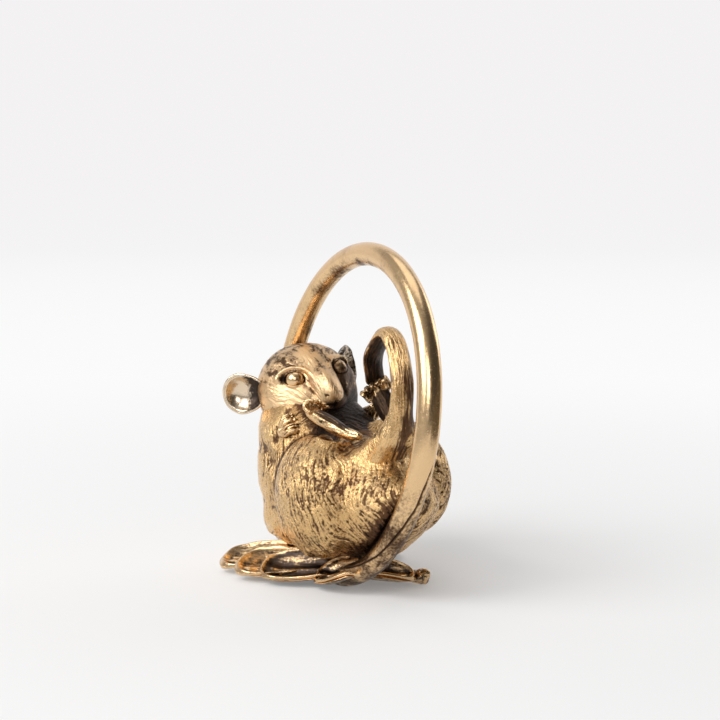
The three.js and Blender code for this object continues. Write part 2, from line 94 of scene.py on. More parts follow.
class Finish:
    """A material or a world under construction, with one method that adds any node."""

    def __init__(self, owner, shader="Principled BSDF"):
        owner.use_nodes = True
        self.owner = owner
        self.tree = owner.node_tree
        self.shader = self.tree.nodes[shader]

    def node(self, kind, settings=None, sockets=None, output=0):
        made = self.tree.nodes.new(kind)
        for name, value in (settings or {}).items():
            setattr(made, name, value)
        self.feed(made, sockets or {})
        return Tone(self, made.outputs[output])

    def feed(self, node, sockets):
        """Links tones to a node's sockets, and sets those that get plain values."""
        for key, value in sockets.items():
            if isinstance(value, Tone):
                self.tree.links.new(value.socket, node.inputs[key])
            else:
                node.inputs[key].default_value = value

    def noisy(self, place, scale, detail, roughness=0.5):
        sockets = {"Vector": place, "Scale": scale, "Detail": detail, "Roughness": roughness}
        return self.node("ShaderNodeTexNoise", None, sockets)

    def eased(self, value, low, high):
        """0 below low, 1 above high and smooth between."""
        sockets = {"Value": value, "From Min": low, "From Max": high}
        return self.node("ShaderNodeMapRange", {"interpolation_type": "SMOOTHSTEP"}, sockets)

    def mixed(self, share, first, second):
        """One colour turning into another."""
        MIX_SHARE, MIX_A, MIX_B, MIX_RESULT = 0, 6, 7, 2
        sockets = {MIX_SHARE: share, MIX_A: first, MIX_B: second}
        return self.node("ShaderNodeMix", {"data_type": "RGBA"}, sockets, MIX_RESULT)


def brass(name, gold, brown, gloss, blush, hairy, grainy, relief):
    """Aged brass: gold where it is rubbed, brown with patina in hollows and strokes and with painted shade,
    black in the deepest patina and painted shade.
    """
    finish = Finish(bpy.data.materials.new(name))
    patina_and_shade = finish.node("ShaderNodeAttribute", {"attribute_name": "patina_and_shade"}, output=2)
    strokes = finish.node("ShaderNodeAttribute", {"attribute_name": "strokes"}, output=1)
    rough = 1 - finish.node("ShaderNodeAttribute", {"attribute_name": "sleek"}, output=2)
    place = finish.node("ShaderNodeTexCoord", output=3)
    in_mm = finish.node("ShaderNodeVectorMath", {"operation": "SCALE"}, {0: place, "Scale": 1 / MM})
    cloud = finish.noisy(in_mm, CLOUD_PER_MM, 5)
    stain = finish.noisy(in_mm, STAIN_PER_MM, 3)
    grain = finish.noisy(in_mm, GRAIN_PER_MM, 4)
    drawn = finish.node("ShaderNodeVectorMath", {"operation": "MULTIPLY"}, {0: strokes, 1: HAIR_PER_MM})
    hair = finish.noisy(drawn, 1, 4, 0.6)
    hairline = (0.5 - finish.eased(hair, 0.36, 0.62)) * hairy
    speck = (0.5 - finish.eased(grain, 0.36, 0.64)) * grainy
    soil = patina_and_shade + (finish.eased(cloud, 0.35, 0.65) - 0.5) * 0.3 + (hairline + speck) * rough
    patina = finish.eased(soil, 0.26, 0.85)
    tint = finish.mixed(finish.eased(stain, 0.35, 0.68), VIOLET, OLIVE)
    worn = finish.mixed(finish.eased(cloud, 0.5, 0.75) * blush, [*gold, 1], tint)
    # Black where patina and painted shade run deepest.
    black_shade_and_patina = finish.eased(soil, 1.0, 1.7)
    height = (hair * (2 * hairy) + grain * grainy) * rough
    finish.feed(finish.shader, {
        "Base Color": finish.mixed(black_shade_and_patina, finish.mixed(patina, worn, [*brown, 1]), BLACK_SHADE_AND_PATINA),
        "Roughness": gloss + patina * 0.15 + (grain - 0.5) * 0.2,
        "Metallic": 1,
        "Normal": finish.node(
            "ShaderNodeBump", None, {"Height": height, "Strength": relief, "Distance": HAIR_RELIEF},
        ),
    })
    return finish.owner


def places_of(mesh):
    """The mesh's vertices as an array, one row each."""
    flat = np.empty(len(mesh.vertices) * 3)
    mesh.vertices.foreach_get("co", flat)
    return flat.reshape(-1, 3)


def turned(points, matrix):
    """Points moved by a matrix."""
    m = np.array(matrix)
    return points @ m[:3, :3].T + m[:3, 3]


def unit(rows):
    """Vectors, one to a row, brought to a length of 1."""
    return rows / np.linalg.norm(rows, axis=1)[:, None]


def raised(points, out, height):
    """Points, or one point, moved along directions, each by its own height."""
    return points + out * height[:, None]


def rippled(points, *size):
    """Smooth noise of about -1 to 1 at each point, with features of one size, or of one for each axis."""
    return np.array([noise.noise(place) for place in (points / np.array(size)).tolist()])


def eased(value, low, high):
    """0 at low, 1 at high and smooth between, either way round."""
    share = np.clip((value - low) / (high - low), 0, 1)
    return share * share * (3 - 2 * share)


def bell(off, width):
    """1 in the middle, falling to nothing over a width."""
    return np.exp(-((off / width) ** 2))


def wrapped(angle):
    """The same angle within half a turn either way."""
    return np.mod(angle + pi, 2 * pi) - pi


def mesh_of(name, bm):
    mesh = bpy.data.meshes.new(name)
    bm.to_mesh(mesh)
    bm.free()
    return mesh


def linked(name, data):
    made = bpy.data.objects.new(name, data)
    bpy.context.scene.collection.objects.link(made)
    return made


def placed(node, mesh, points, patina_and_shade, strokes, material, sleek=None):
    """Puts a casting, with its points in mm, where its solid is. Each point says how much patina and painted
    shade it has, from 0, rubbed, to 2, black, which way its strokes run and, on the torso, how sleek it is."""
    mesh.vertices.foreach_set("co", (points * MM).ravel())
    layers = [
        ("patina_and_shade", "FLOAT", "value", np.clip(patina_and_shade, 0, 2)),
        ("strokes", "FLOAT_VECTOR", "vector", strokes),
        ("sleek", "FLOAT", "value", sleek),
    ]
    for name, kind, field, values in layers:
        if values is not None:
            layer = mesh.attributes.new(name, kind, "POINT")
            layer.data.foreach_set(field, values.astype(np.float32).ravel())
    mesh.shade_smooth()
    mesh.update()
    mesh.materials.append(material)
    casting = linked(mesh.name, mesh)
    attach(casting, "root")
    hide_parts(node)
    return casting


def spun(bm, axis, steps):
    """A section taken once round an axis through the origin."""
    bmesh.ops.spin(
        bm, geom=bm.verts[:] + bm.edges[:], axis=axis, cent=(0, 0, 0),
        angle=2 * pi, steps=steps, use_merge=True,
    )
    bmesh.ops.remove_doubles(bm, verts=bm.verts, dist=0.001)
    bmesh.ops.recalc_face_normals(bm, faces=bm.faces)
    return bm


def hoop_gap(world):
    """Distance from points to the surface of the rod."""
    local = turned(world, hoop_place.inverted())
    away = np.hypot(local[:, 0], local[:, 2]) - HOOP_RADIUS
    return np.hypot(away, local[:, 1]) - ROD_RADIUS


rod = bmesh.new()
at_rim = Matrix.Translation((HOOP_RADIUS, 0, 0))
bmesh.ops.create_circle(rod, segments=ROD_SIDES, radius=ROD_RADIUS, matrix=at_rim)
mesh = mesh_of("brass_hoop", spun(rod, (0, 1, 0), RING_STEPS))
ring = places_of(mesh)
around = np.arctan2(ring[:, 2], ring[:, 0])
outward = np.column_stack([np.cos(around), np.zeros(len(ring)), np.sin(around)])
spoke = unit(ring - outward * HOOP_RADIUS)
outer = (spoke * outward).sum(1)
turn = np.arctan2(-spoke[:, 1], outer)
down_scarf = (around - SCARF_TOP) / (SCARF_FOOT - SCARF_TOP)
scarf_turn = SCARF_TURN_TOP + (SCARF_TURN_FOOT - SCARF_TURN_TOP) * down_scarf
waver = sum(depth * rippled(ring, size) for depth, size in SCARF_WAVER)
dents = sum(depth * rippled(ring, size) for depth, size in ROD_DENTS)
off_scarf = ROD_RADIUS * wrapped(turn - scarf_turn) + waver
on_scarf = eased(down_scarf, -0.04, 0.06) * eased(down_scarf, 1.0, 0.98)
blunt = bell((around - SCARF_FOOT) * HOOP_RADIUS + waver, SCARF_WIDTH)
blunt *= eased(off_scarf, -0.2, 0.2) * eased(off_scarf, 2.6, 2.2)
slit = np.maximum(bell(off_scarf, SCARF_WIDTH) * on_scarf, blunt)
step = eased(off_scarf, -0.05, 0.25) * eased(off_scarf, 2.4, 1.2) * on_scarf
hoop = turned(raised(ring, spoke, dents - SCARF_DEPTH * slit - SCARF_STEP * step), hoop_place)
hoop[:, 2] = np.maximum(hoop[:, 2], 0)
patina_and_shade = 0.12 + slit + 0.5 * eased(hoop[:, 2], 20, 8)
patina_and_shade += eased(-outer, 0.1, 0.9) * (0.3 + 0.5 * rippled(ring, 2.2))
patina_and_shade += 0.35 * eased(rippled(ring, 0.4), 0.3, 0.6) * eased(hoop[:, 2], 16, 4)
strokes = np.column_stack([around * HOOP_RADIUS, np.cos(turn) * 2, np.sin(turn) * 2])
rubbed_brass = brass(
    "rubbed_brass", [0.80, 0.55, 0.30], [0.10, 0.055, 0.03], 0.24,
    blush=0.35, hairy=0.06, grainy=0.22, relief=0.12,
)
placed("hoop", mesh, hoop, patina_and_shade, strokes, rubbed_brass)

# Torso: the animal's solid cast body, a long rump inside the hoop and a chest under the head. The modeller
# cut fur strokes and pits into the wax, and patina stays in them. Painted shade darkens it by the hoop, under
# the chin and low under the belly.
MID_PLANE = HOOP_RADIUS * sin(HOOP_LEAN)
animal = Matrix.Translation((0, MID_PLANE, 0))
RUMP_HEIGHT, CHEST_HEIGHT = 10.4, 16.4
RUMP = {"centre": (1.0, 0.2, RUMP_HEIGHT), "half": (14.8, 8.1), "below": 8.0, "above": 7.3, "taper": 0.2}
CHEST = {"centre": (-9.2, 0, CHEST_HEIGHT), "half": (7.5, 7.3), "below": 14.6, "above": 4.4, "taper": -0.2}
TORSO_MIDDLE = np.array([-4.0, 0.2, 11.5])
TORSO_BLEND, TORSO_CUTS, TORSO_REACH = 4.0, 124, 30.0
TAIL_RIDGE = [(7.7, -5.9, 14.3), (7.3, -3.3, 15.2), (8.9, -1.5, 16.7), (11.6, -0.7, 18.8)]
RIDGE_RADIUS, RIDGE_BLEND = [0.9, 1.0, 1.0, 1.1], 1.4
SKIRT = 2.0
HAUNCH_HALF, HAUNCH_TURN = np.array([8.5, 4.9, 7.2]), radians(9)
HAUNCH_OUT, HAUNCH_FORWARD, HAUNCH_RISE, HAUNCH_STAGGER = 5.2, 1.9, 0.9, 0.7
HOOP_SEAM, CHANNEL, CHANNEL_STEPS = 0.25, 5.0, 60
HAUNCH_FILLET, NECK_FILLET, TAIL_FILLET = 1.0, 3.5, 2.6
RIGHT, LEFT = -1, 1
TAIL_BACK, TAIL_TOP, TAIL_FRONT, TAIL_DROP = 12.4, 30.0, 3.8, 5.8
TAIL_ROOT_WIDTH, TAIL_WIDTH, TAIL_TIP_WIDTH, TAIL_FADE, TAIL_FLATNESS = 7.0, 3.0, 2.4, 9, 0.74
TAIL_KNOTS = [
    (TAIL_BACK - 6.9, -0.4, 13.0),
    (TAIL_BACK - 2.2, -0.14, 16.8),
    (TAIL_BACK - 0.2, 0.11, 19.8),
    (TAIL_BACK + 0.2, 0.37, 24.1),
    (TAIL_BACK - 1.2, 0.63, TAIL_TOP - 2),
    ((TAIL_BACK + TAIL_FRONT) / 2, 0.89, TAIL_TOP),
    (TAIL_FRONT - 0.8, 1.7, TAIL_TOP - TAIL_DROP / 2),
    (TAIL_FRONT - 2.2, 2.5, TAIL_TOP - TAIL_DROP),
]
TAIL_STEPS = 80
ROLL, ROLL_HEIGHT, HEAD_PITCH = radians(11), 21.2, radians(3)
SKULL_HALF = np.array([6.0, 6.0, 5.2])
forequarters = Matrix.Translation((0, 0, ROLL_HEIGHT)) @ Matrix.Rotation(ROLL, 4, "X")
head_place = forequarters @ Matrix.Translation((-12.7, 0, 0.8)) @ Matrix.Rotation(HEAD_PITCH, 4, "Y")


def ball(cuts):
    """A globe of even quads, from a cube."""
    bm = bmesh.new()
    bmesh.ops.create_cube(bm, size=2)
    bmesh.ops.subdivide_edges(bm, edges=bm.edges[:], cuts=cuts, use_grid_fill=True)
    for vertex in bm.verts:
        vertex.co = Vector([tan(place * pi / 4) for place in vertex.co]).normalized()
    return bm


def oval_gap(local, half):
    """Rough distance from points to the surface of an oval about the origin."""
    share = np.linalg.norm(local / half, axis=1)
    steep = np.linalg.norm(local / half**2, axis=1)
    return share * (share - 1) / np.maximum(steep, 1e-6)


def egg_gap(points, egg):
    """Rough distance to an egg with its own heights above and below, that narrows or widens downwards."""
    local = points - egg["centre"]
    height = np.where(local[:, 2] < 0, egg["below"], egg["above"])
    narrowing = 1 + egg["taper"] * np.clip(local[:, 2] / height, -1, 0)
    half = np.column_stack([egg["half"][0] * narrowing, egg["half"][1] * narrowing, height])
    return oval_gap(local, half)


def melded(first, second, width):
    """Two distances joined with a rounded inner corner."""
    near = np.clip(width - np.abs(first - second), 0, None) / width
    return np.minimum(first, second) - near**2 * width / 4


def folded_right(points):
    """Points with the animal's left side laid over its right."""
    folded = points.copy()
    folded[:, 1] = RUMP["centre"][1] - np.abs(points[:, 1] - RUMP["centre"][1])
    return folded


def off_stretches(points, knots):
    """For each stretch of a line, what share of it points lie along and how they are offset from it."""
    for first, second in zip(np.array(knots), np.array(knots)[1:]):
        run = second - first
        share = np.clip((points - first) @ run / (run @ run), 0, 1)
        yield share, points - first - share[:, None] * run


def ridge_gap(points):
    """Distance to the ridges that run from each haunch up into the tail."""
    gap = np.full(len(points), TORSO_REACH)
    stretches = off_stretches(folded_right(points), TAIL_RIDGE)
    for (share, off), start, end in zip(stretches, RIDGE_RADIUS, RIDGE_RADIUS[1:]):
        gap = np.minimum(gap, np.linalg.norm(off, axis=1) - start - (end - start) * share)
    return gap


def torso_gap(points):
    body = melded(egg_gap(points, RUMP), egg_gap(points, CHEST), TORSO_BLEND)
    return melded(body, ridge_gap(points), RIDGE_BLEND)


def haunch_place(side):
    """Where a haunch lies in the animal's frame."""
    rise = RUMP_HEIGHT + HAUNCH_RISE + side * HAUNCH_STAGGER
    middle = (HAUNCH_FORWARD, RUMP["centre"][1] + side * HAUNCH_OUT, rise)
    return Matrix.Translation(middle) @ Matrix.Rotation(side * HAUNCH_TURN, 4, "Z")


def haunch_gap(points, side):
    return oval_gap(turned(points, haunch_place(side).inverted()), HAUNCH_HALF)


def skull_gap(points):
    return oval_gap(turned(points, head_place.inverted()), SKULL_HALF)


def smooth_way(knots, count):
    """Evenly spaced points on a smooth curve through some knots."""
    k = np.array(knots, float)
    k = np.vstack([2 * k[0] - k[1], k, 2 * k[-1] - k[-2]])
    run = np.linspace(0, len(k) - 3, 40 * len(k))
    first = np.minimum(run.astype(int), len(k) - 4)
    f = (run - first)[:, None]
    a, b, c, d = (k[first + i] for i in range(4))
    fine = b + f / 2 * (c - a + f * (2 * a - 5 * b + 4 * c - d + f * (3 * (b - c) + d - a)))
    length = np.concatenate([[0], np.cumsum(np.linalg.norm(np.diff(fine, axis=0), axis=1))])
    even = np.linspace(0, length[-1], count)
    return np.column_stack([np.interp(even, length, fine[:, axis]) for axis in range(3)])


def tail_width(share):
    root = (TAIL_ROOT_WIDTH - TAIL_WIDTH) * exp(-share * TAIL_FADE)
    return TAIL_WIDTH + (TAIL_TIP_WIDTH - TAIL_WIDTH) * share + root


def tail_gap(points):
    """Rough distance from points to the lower half of the tail."""
    way = smooth_way(TAIL_KNOTS, TAIL_STEPS + 1)
    ahead = unit(np.gradient(way, axis=0))
    gap = np.full(len(points), TORSO_REACH)
    for step in range(TAIL_STEPS // 2):
        thick = np.cross(ahead[step], (0, 1, 0))
        off = points - way[step]
        off = off + np.outer(off @ thick, thick) * (1 / TAIL_FLATNESS - 1)
        gap = np.minimum(gap, np.linalg.norm(off, axis=1) - tail_width(step / TAIL_STEPS) / 2)
    return gap


def flared(points):
    """Points spread outwards low on the right, where the body's rough skirt meets the leaves."""
    level = unit((points - TORSO_MIDDLE) * (1, 1, 0))
    low = eased(points[:, 2], 8.5, 4.0) * eased(points[:, 2], 1.6, 2.6) * eased(level[:, 1], -0.2, -0.8)
    return raised(points, level, SKIRT * low)


def thrown(rays, start, gap):
    """Where rays from a point leave a form."""
    low, high = np.zeros(len(rays)), np.full(len(rays), TORSO_REACH)
    for halving in range(26):
        middle = (low + high) / 2
        inside = gap(raised(start, rays, middle)) < 0
        low, high = np.where(inside, middle, low), np.where(inside, high, middle)
    return raised(start, rays, low)


def filleted(points, out, gap, width):
    """Points raised near a neighbour, so that two castings meet in a rounded corner."""
    near = np.clip(width - np.abs(gap), 0, None) / width
    return raised(points, out, near**2 * width / 4)


def clear_of_hoop(points, middle):
    """Points drawn in towards a form's middle until they are clear of the hoop."""
    far = np.linalg.norm(points - middle, axis=1)
    rays = unit(points - middle)
    keep = far.copy()
    for inset in np.linspace(0, CHANNEL, CHANNEL_STEPS):
        reach = far - inset
        blocked = hoop_gap(turned(raised(middle, rays, reach), animal)) < HOOP_SEAM
        keep = np.where(blocked, reach - CHANNEL / CHANNEL_STEPS, keep)
    return raised(middle, rays, keep)


def normals_of(mesh, points):
    """Outward normals of a mesh with these points."""
    mesh.vertices.foreach_set("co", points.ravel())
    mesh.update()
    flat = np.empty(len(points) * 3, np.float32)
    mesh.vertex_normals.foreach_get("vector", flat)
    return flat.reshape(-1, 3).astype(float)


FUR_POLE = np.array([2.2, -4.9, 19.5])
FUR_AXIS = np.array([0.35, -0.92, 0.15]) / np.linalg.norm([0.35, -0.92, 0.15])
FUR_EAST = np.array([1, 0, 0]) - FUR_AXIS * FUR_AXIS[0]
FUR_EAST /= np.linalg.norm(FUR_EAST)
FUR_NORTH = np.cross(FUR_AXIS, FUR_EAST)
FUR_RAKE = np.array([cos(radians(-62)), sin(radians(-62))])
FUR_RAKE_LENGTH, FUR_WANDER, WANDER_SIZE = 16, 1.2, 3.2
STROKE_LENGTH, STROKE_WIDTH, STROKE_DEPTH = 1.6, 0.26, 0.09
TUFT_LENGTH, TUFT_WIDTH, TUFT_HEIGHT = 2.6, 0.9, 0.035
PIT_LENGTH, PIT_WIDTH, PIT_DEPTH = 0.38, 0.3, 0.14
LUMP_SIZE, LUMP_HEIGHT = 1.1, 0.4
FLANK_FRONT, FOLD_SINK = np.array([0.890, -0.434, 0.139]), 4.0
RIDGE_CREST = [(8.3, -6.4, 15.1), (7.3, -3.6, 16.1), (7.6, -2.0, 17.0), (9.5, -1.0, 18.2)]
KNEE_FOLD = [(3.4, -5.7, 17.6), (5.0, -5.7, 17.3), (5.3, -4.3, 17.0), (5.0, -2.3, 17.0), (3.9, -1.4, 17.4)]
NECK_FOLD = [(-7.6, -4.7, 19.6), (-6.5, -6.2, 18.1), (-6.6, -7.1, 16.1)]
ARMPIT, KNEE_STAIN = [(-8.6, -7.5, 15.1), (-7.1, -7.5, 13.6)], [(8.0, -8.2, 13.7), (8.5, -8.2, 12.7)]
# Each fold is a line with its width, its height and how dark it is: below zero a painted highlight along a
# crest, above zero patina and painted shade.
FOLDS = [
    (RIDGE_CREST, 0.7, 0, -0.7),
    (np.array(RIDGE_CREST) + (-1.5, 0.3, 0.4), 0.7, -0.25, 0.7),
    (KNEE_FOLD, 0.45, 0.5, -0.4),
    (np.array(KNEE_FOLD) + (-0.9, 0.25, 0.5), 0.5, -0.4, 0.6),
    (NECK_FOLD, 0.45, -0.4, 0.9),
    (ARMPIT, 0.9, -0.45, 0.8),
    (KNEE_STAIN, 2.2, 0, 0.3),
]


def near_line(points, knots, width):
    """1 on a line, as the front of the flank shows it, falling to nothing over a width."""
    nearest = np.full(len(points), TORSO_REACH)
    for share, off in off_stretches(points, knots):
        sunk = off @ FLANK_FRONT
        far_down = np.maximum(np.abs(sunk) - FOLD_SINK, 0)
        aside = np.linalg.norm(off - np.outer(sunk, FLANK_FRONT), axis=1)
        nearest = np.minimum(nearest, np.hypot(aside, far_down))
    return bell(nearest, width)


def fur(points):
    """Relief, patina, painted light and shade of the fur, and its strokes, which rake over the rump and run
    down the chest.
    """
    x, y, z = points.T
    folded = folded_right(points)
    side = np.where(y > RUMP["centre"][1], LEFT, RIGHT)
    wander = np.column_stack([rippled(points + shift, WANDER_SIZE) for shift in (0, 50)])
    flow = (folded - FUR_POLE) @ np.column_stack([FUR_EAST, FUR_NORTH]) + FUR_WANDER * wander
    rake = np.clip(flow @ FUR_RAKE, 0, FUR_RAKE_LENGTH)
    off_rake = flow - rake[:, None] * FUR_RAKE
    off_pole = np.linalg.norm(off_rake, axis=1)
    hand = np.sign(FUR_RAKE[0] * off_rake[:, 1] - FUR_RAKE[1] * off_rake[:, 0])
    behind = np.arcsin(np.clip(-(off_rake @ FUR_RAKE) / np.maximum(off_pole, 1e-3), 0, 1))
    on_chest = eased(x, -4.5, -7.5)
    calm = on_chest * eased(z, 9, 15)
    along = (rake - off_pole * behind) * (1 - on_chest) + z * on_chest
    combed = folded[:, 1] * 1.2 + x * 0.5 + 0.5 * wander[:, 0]
    across = hand * off_pole * (1 - on_chest) + combed * on_chest
    strokes = np.column_stack([along, across, 7.0 * side])
    stroke = rippled(strokes, STROKE_LENGTH, STROKE_WIDTH, 1.0)
    tuft = rippled(strokes, TUFT_LENGTH, TUFT_WIDTH, 1.0)
    pitted = eased(x, 0.5, 6.0) * eased(z, 3.0, 6.0) * eased(z, 16.5, 14.0)
    pit = eased(rippled(strokes + 40, PIT_LENGTH, PIT_WIDTH, 1.0), 0.2, 0.5) * (0.2 + 0.8 * pitted)
    furry = 1 - 0.4 * pitted
    lump = rippled(points, LUMP_SIZE) * eased(z, 6.5, 4.0)
    relief = STROKE_DEPTH * stroke * furry * (1 - 0.5 * calm) + TUFT_HEIGHT * tuft
    relief += LUMP_HEIGHT * lump - PIT_DEPTH * pit
    # Painted light: the chest is lighter, most of all its calm part under the head.
    patina_and_shade = 0.3 - 0.12 * (on_chest + calm) - 0.25 * tuft + 0.5 * pit - 0.55 * lump
    patina_and_shade += 0.3 * eased(-stroke, 0.1, 0.5) * furry * (1 - 0.6 * calm)
    for knots, width, height, dark in FOLDS:
        fold = near_line(folded, knots, width)
        relief += height * fold
        patina_and_shade += dark * fold
    return relief, patina_and_shade, strokes


def shaded_by_hoop(points):
    """Painted shade beside the hoop, strongest on the animal's right, and low down between the leaves."""
    beside = eased(hoop_gap(turned(points, animal)), 2.2, 0.3)
    on_right = eased(points[:, 1], 4.0, 1.0)
    return (0.15 + 0.7 * on_right) * beside + 0.1 * eased(points[:, 2], 5.0, 2.4)


fur_brass = brass(
    "fur_brass", [0.82, 0.54, 0.25], [0.14, 0.07, 0.034], 0.27,
    blush=0.4, hairy=0.65, grainy=0.45, relief=1.0,
)
mesh = mesh_of("cast_torso", ball(TORSO_CUTS))
torso = flared(thrown(places_of(mesh), TORSO_MIDDLE, torso_gap))
out = normals_of(mesh, torso)
to_haunch = np.minimum(np.abs(haunch_gap(torso, RIGHT)), np.abs(haunch_gap(torso, LEFT)))
torso = filleted(torso, out, to_haunch, HAUNCH_FILLET)
torso = filleted(torso, out, skull_gap(torso), NECK_FILLET)
torso = filleted(torso, out, tail_gap(torso), TAIL_FILLET)
relief, patina_and_shade, strokes = fur(torso)
sleek = 0.75 * eased(skull_gap(torso), 5.0, 0.8) * eased(torso[:, 0], -4, -7)
torso = raised(torso, out, relief * (1 - 0.6 * sleek))
x, y, z = torso.T
# Painted shade, near black, under the chin between the snout and the foot.
shade_under_chin = eased(x, -9, -6) * eased(x, 3.5, -1.5) * eased(y, -5.0, -2.5) * eased(z, 15.8, 17.2)
by_haunch = eased(to_haunch, 0.8, 0.1) * eased(x, 3, -2)
neck = eased(skull_gap(torso), 3.0, 0.4) * eased(rippled(torso, 1.4, 1.4, 0.9), -0.25, 0.3)
patina_and_shade += shaded_by_hoop(torso) + 1.5 * shade_under_chin + 0.8 * by_haunch + 0.15 * neck
torso = turned(clear_of_hoop(torso, TORSO_MIDDLE), animal)
placed("torso", mesh, torso, patina_and_shade, strokes, fur_brass, sleek)

# Haunches: the two rounded thighs, cast apart and brazed into the flanks, so that the fur runs on across the
# seam. The strokes rake down from the knee, where the hind leg folds under the foot.
HAUNCH_CUTS = 100


def both(piece):
    """The right and the left one of a pair of pieces."""
    return ("right_" + piece, RIGHT), ("left_" + piece, LEFT)


for haunch_name, side in both("haunch"):
    mesh = mesh_of("cast_" + haunch_name, ball(HAUNCH_CUTS))
    place = haunch_place(side)
    haunch = turned(places_of(mesh) * HAUNCH_HALF, place)
    out = normals_of(mesh, haunch)
    depth = torso_gap(haunch)
    haunch = filleted(haunch, out, depth, HAUNCH_FILLET)
    haunch = filleted(haunch, out, tail_gap(haunch), TAIL_FILLET)
    relief, patina_and_shade, strokes = fur(haunch)
    haunch = raised(haunch, out, relief)
    patina_and_shade += shaded_by_hoop(haunch) + eased(np.abs(depth), 0.6, 0.0) * eased(haunch[:, 0], 3, -1)
    haunch = turned(clear_of_hoop(haunch, np.array(place.translation)), animal)
    placed(haunch_name, mesh, haunch, patina_and_shade, strokes, fur_brass)

# Tail: a flat furry tail that rises from the rump beside the hoop and curls over towards the face. Its
# strokes run lengthwise, its outer face is bright with a painted highlight along the keel, and the inside of
# the curl and the lower left flank are painted dark as shade.
TAIL_MIDDLE = np.array([6.0, 0.2, 16.0])
TAIL_LENGTH, TAIL_GIRTH = 32, 2.2
TAIL_KEEL, KEEL_WIDTH, KEEL_HEIGHT = radians(-135), 0.35, 0.4
CURL_DEPTH = 0.22


def limb(name, sides, steps, knots, width_at, flatness=1.0, across=(0, 1, 0)):
    """A globe drawn out along a curve, round or flattened, with domed ends.
    Gives its mesh, its points, which way is out, the share of the length and the turn round it."""
    bm = bmesh.new()
    bmesh.ops.create_uvsphere(bm, u_segments=sides, v_segments=steps, radius=1)
    mesh = mesh_of(name, bm)
    globe = places_of(mesh)
    turn = np.arctan2(globe[:, 1], globe[:, 0])
    way = smooth_way(knots, 300)
    length = np.linalg.norm(np.diff(way, axis=0), axis=1).sum()
    root, tip = width_at(0.0) / 2, width_at(1.0) / 2
    travel = np.arccos(np.clip(-globe[:, 2], -1, 1)) / pi * (length + root + tip) - root
    share = np.clip(travel, 0, length) / length
    past = travel - share * length
    radius = np.array([width_at(s) for s in share]) / 2
    dome = np.sqrt(np.clip(1 - (past / radius) ** 2, 0, 1))
    index = share * (len(way) - 1)
    at = lambda rows: np.column_stack([np.interp(index, np.arange(len(way)), rows[:, i]) for i in range(3)])
    forward = at(unit(np.gradient(way, axis=0)))
    broad = unit(np.array(across) - forward * (forward @ np.array(across))[:, None])
    thick = np.cross(forward, broad)
    out = broad * np.cos(turn)[:, None] + thick * (flatness * np.sin(turn))[:, None]
    points = raised(raised(at(way), forward, past), out, radius * dome)
    return mesh, points, out, share, turn


mesh, tail, out, share, turn = limb("cast_tail", 64, 280, TAIL_KNOTS, tail_width, TAIL_FLATNESS)
tail = filleted(tail, out, torso_gap(tail), TAIL_FILLET)
strokes = np.column_stack([share * TAIL_LENGTH, np.cos(turn) * TAIL_GIRTH, np.sin(turn) * TAIL_GIRTH])
stroke = rippled(strokes, 2.2, 0.3, 0.3)
tuft = rippled(strokes, 3.0, 0.8, 0.8)
inside = eased(np.sin(turn), 0.0, 0.5) * eased(share, 0.3, 0.45)
keel = bell(wrapped(turn - TAIL_KEEL), KEEL_WIDTH) * eased(share, 0.6, 0.45)
relief = (0.07 * stroke + 0.08 * tuft) * (1 - 0.6 * inside) + KEEL_HEIGHT * keel - CURL_DEPTH * inside
tail = raised(tail, out, relief)
# Painted highlight along the keel and painted shade inside the curl.
patina_and_shade = 0.25 - 0.6 * keel - 0.42 * stroke - 0.2 * tuft + 1.3 * inside + 0.3 * eased(share, 0.6, 1.0)
# Painted shade on the lower part of the tail's left flank.
patina_and_shade += 0.8 * eased(np.cos(turn), -0.4, 0.1) * eased(share, 0.6, 0.4)
patina_and_shade += 0.7 * eased(hoop_gap(turned(tail, animal)), 1.0, 0.2)
tail = turned(clear_of_hoop(tail, TAIL_MIDDLE), animal)
tail_brass = brass(
    "tail_brass", [0.82, 0.55, 0.27], [0.14, 0.07, 0.034], 0.25,
    blush=0.4, hairy=0.75, grainy=0.15, relief=0.8,
)
placed("tail", mesh, tail, patina_and_shade, strokes, tail_brass)

# Head: a smooth round skull with a short snout, turned a little to the animal's right. Brows, lids, nostrils
# and mouth are cut in the wax, the face is polished and short fur starts behind the eyes.
SNOUT = Vector((1, -0.02, 0.02)).normalized()
EYE_TOWARDS = {side: Vector((0.76, side * 0.54, 0.36)).normalized() for side in (RIGHT, LEFT)}
# Each swelling of the skull has a direction, a narrowness and a height.
SWELLINGS = {
    "snout": (SNOUT, 16, 2.0),
    "muzzle": ((1, -0.02, -0.1), 5, 0.45),
    "left cheek": ((0.62, 0.72, -0.3), 7, 0.6),
    "right cheek": ((0.5, -0.8, -0.4), 7, 0.3),
}
EYE_RADIUS, LID_THICKNESS, LID_REACH, LID_BLEND, SOCKET_DEPTH = 1.2, 0.1, 0.34, 0.25, 0.4
OPEN_WIDE, OPEN_ABOVE, OPEN_BELOW, EYE_SLANT = 0.22, 0.15, 0.12, 0.1
BROW_AT, BROW_WIDTH, BROW_HEIGHT, UNDER_BROW_AT = 1.8, 0.3, 0.34, 1.33
VALLEY_DEPTH, TEAR_DEPTH, CORNER_DEPTH, UNDER_BROW_DEPTH = 0.55, 0.26, 0.2, 0.14
BRIDGE_HEIGHT, NOSE_HEIGHT, CLEFT_DEPTH, MOUTH_DEPTH = 0.85, 0.24, 0.12, 0.3
NOSTRIL_DEPTH, NOSTRIL_ASIDE = 0.15, 0.1
EYE_BOX = {side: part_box(node) for node, side in both("eye")}
EYE_MIDDLE = {side: animal.inverted() @ ((low + high) / (2 * MM)) for side, (low, high) in EYE_BOX.items()}
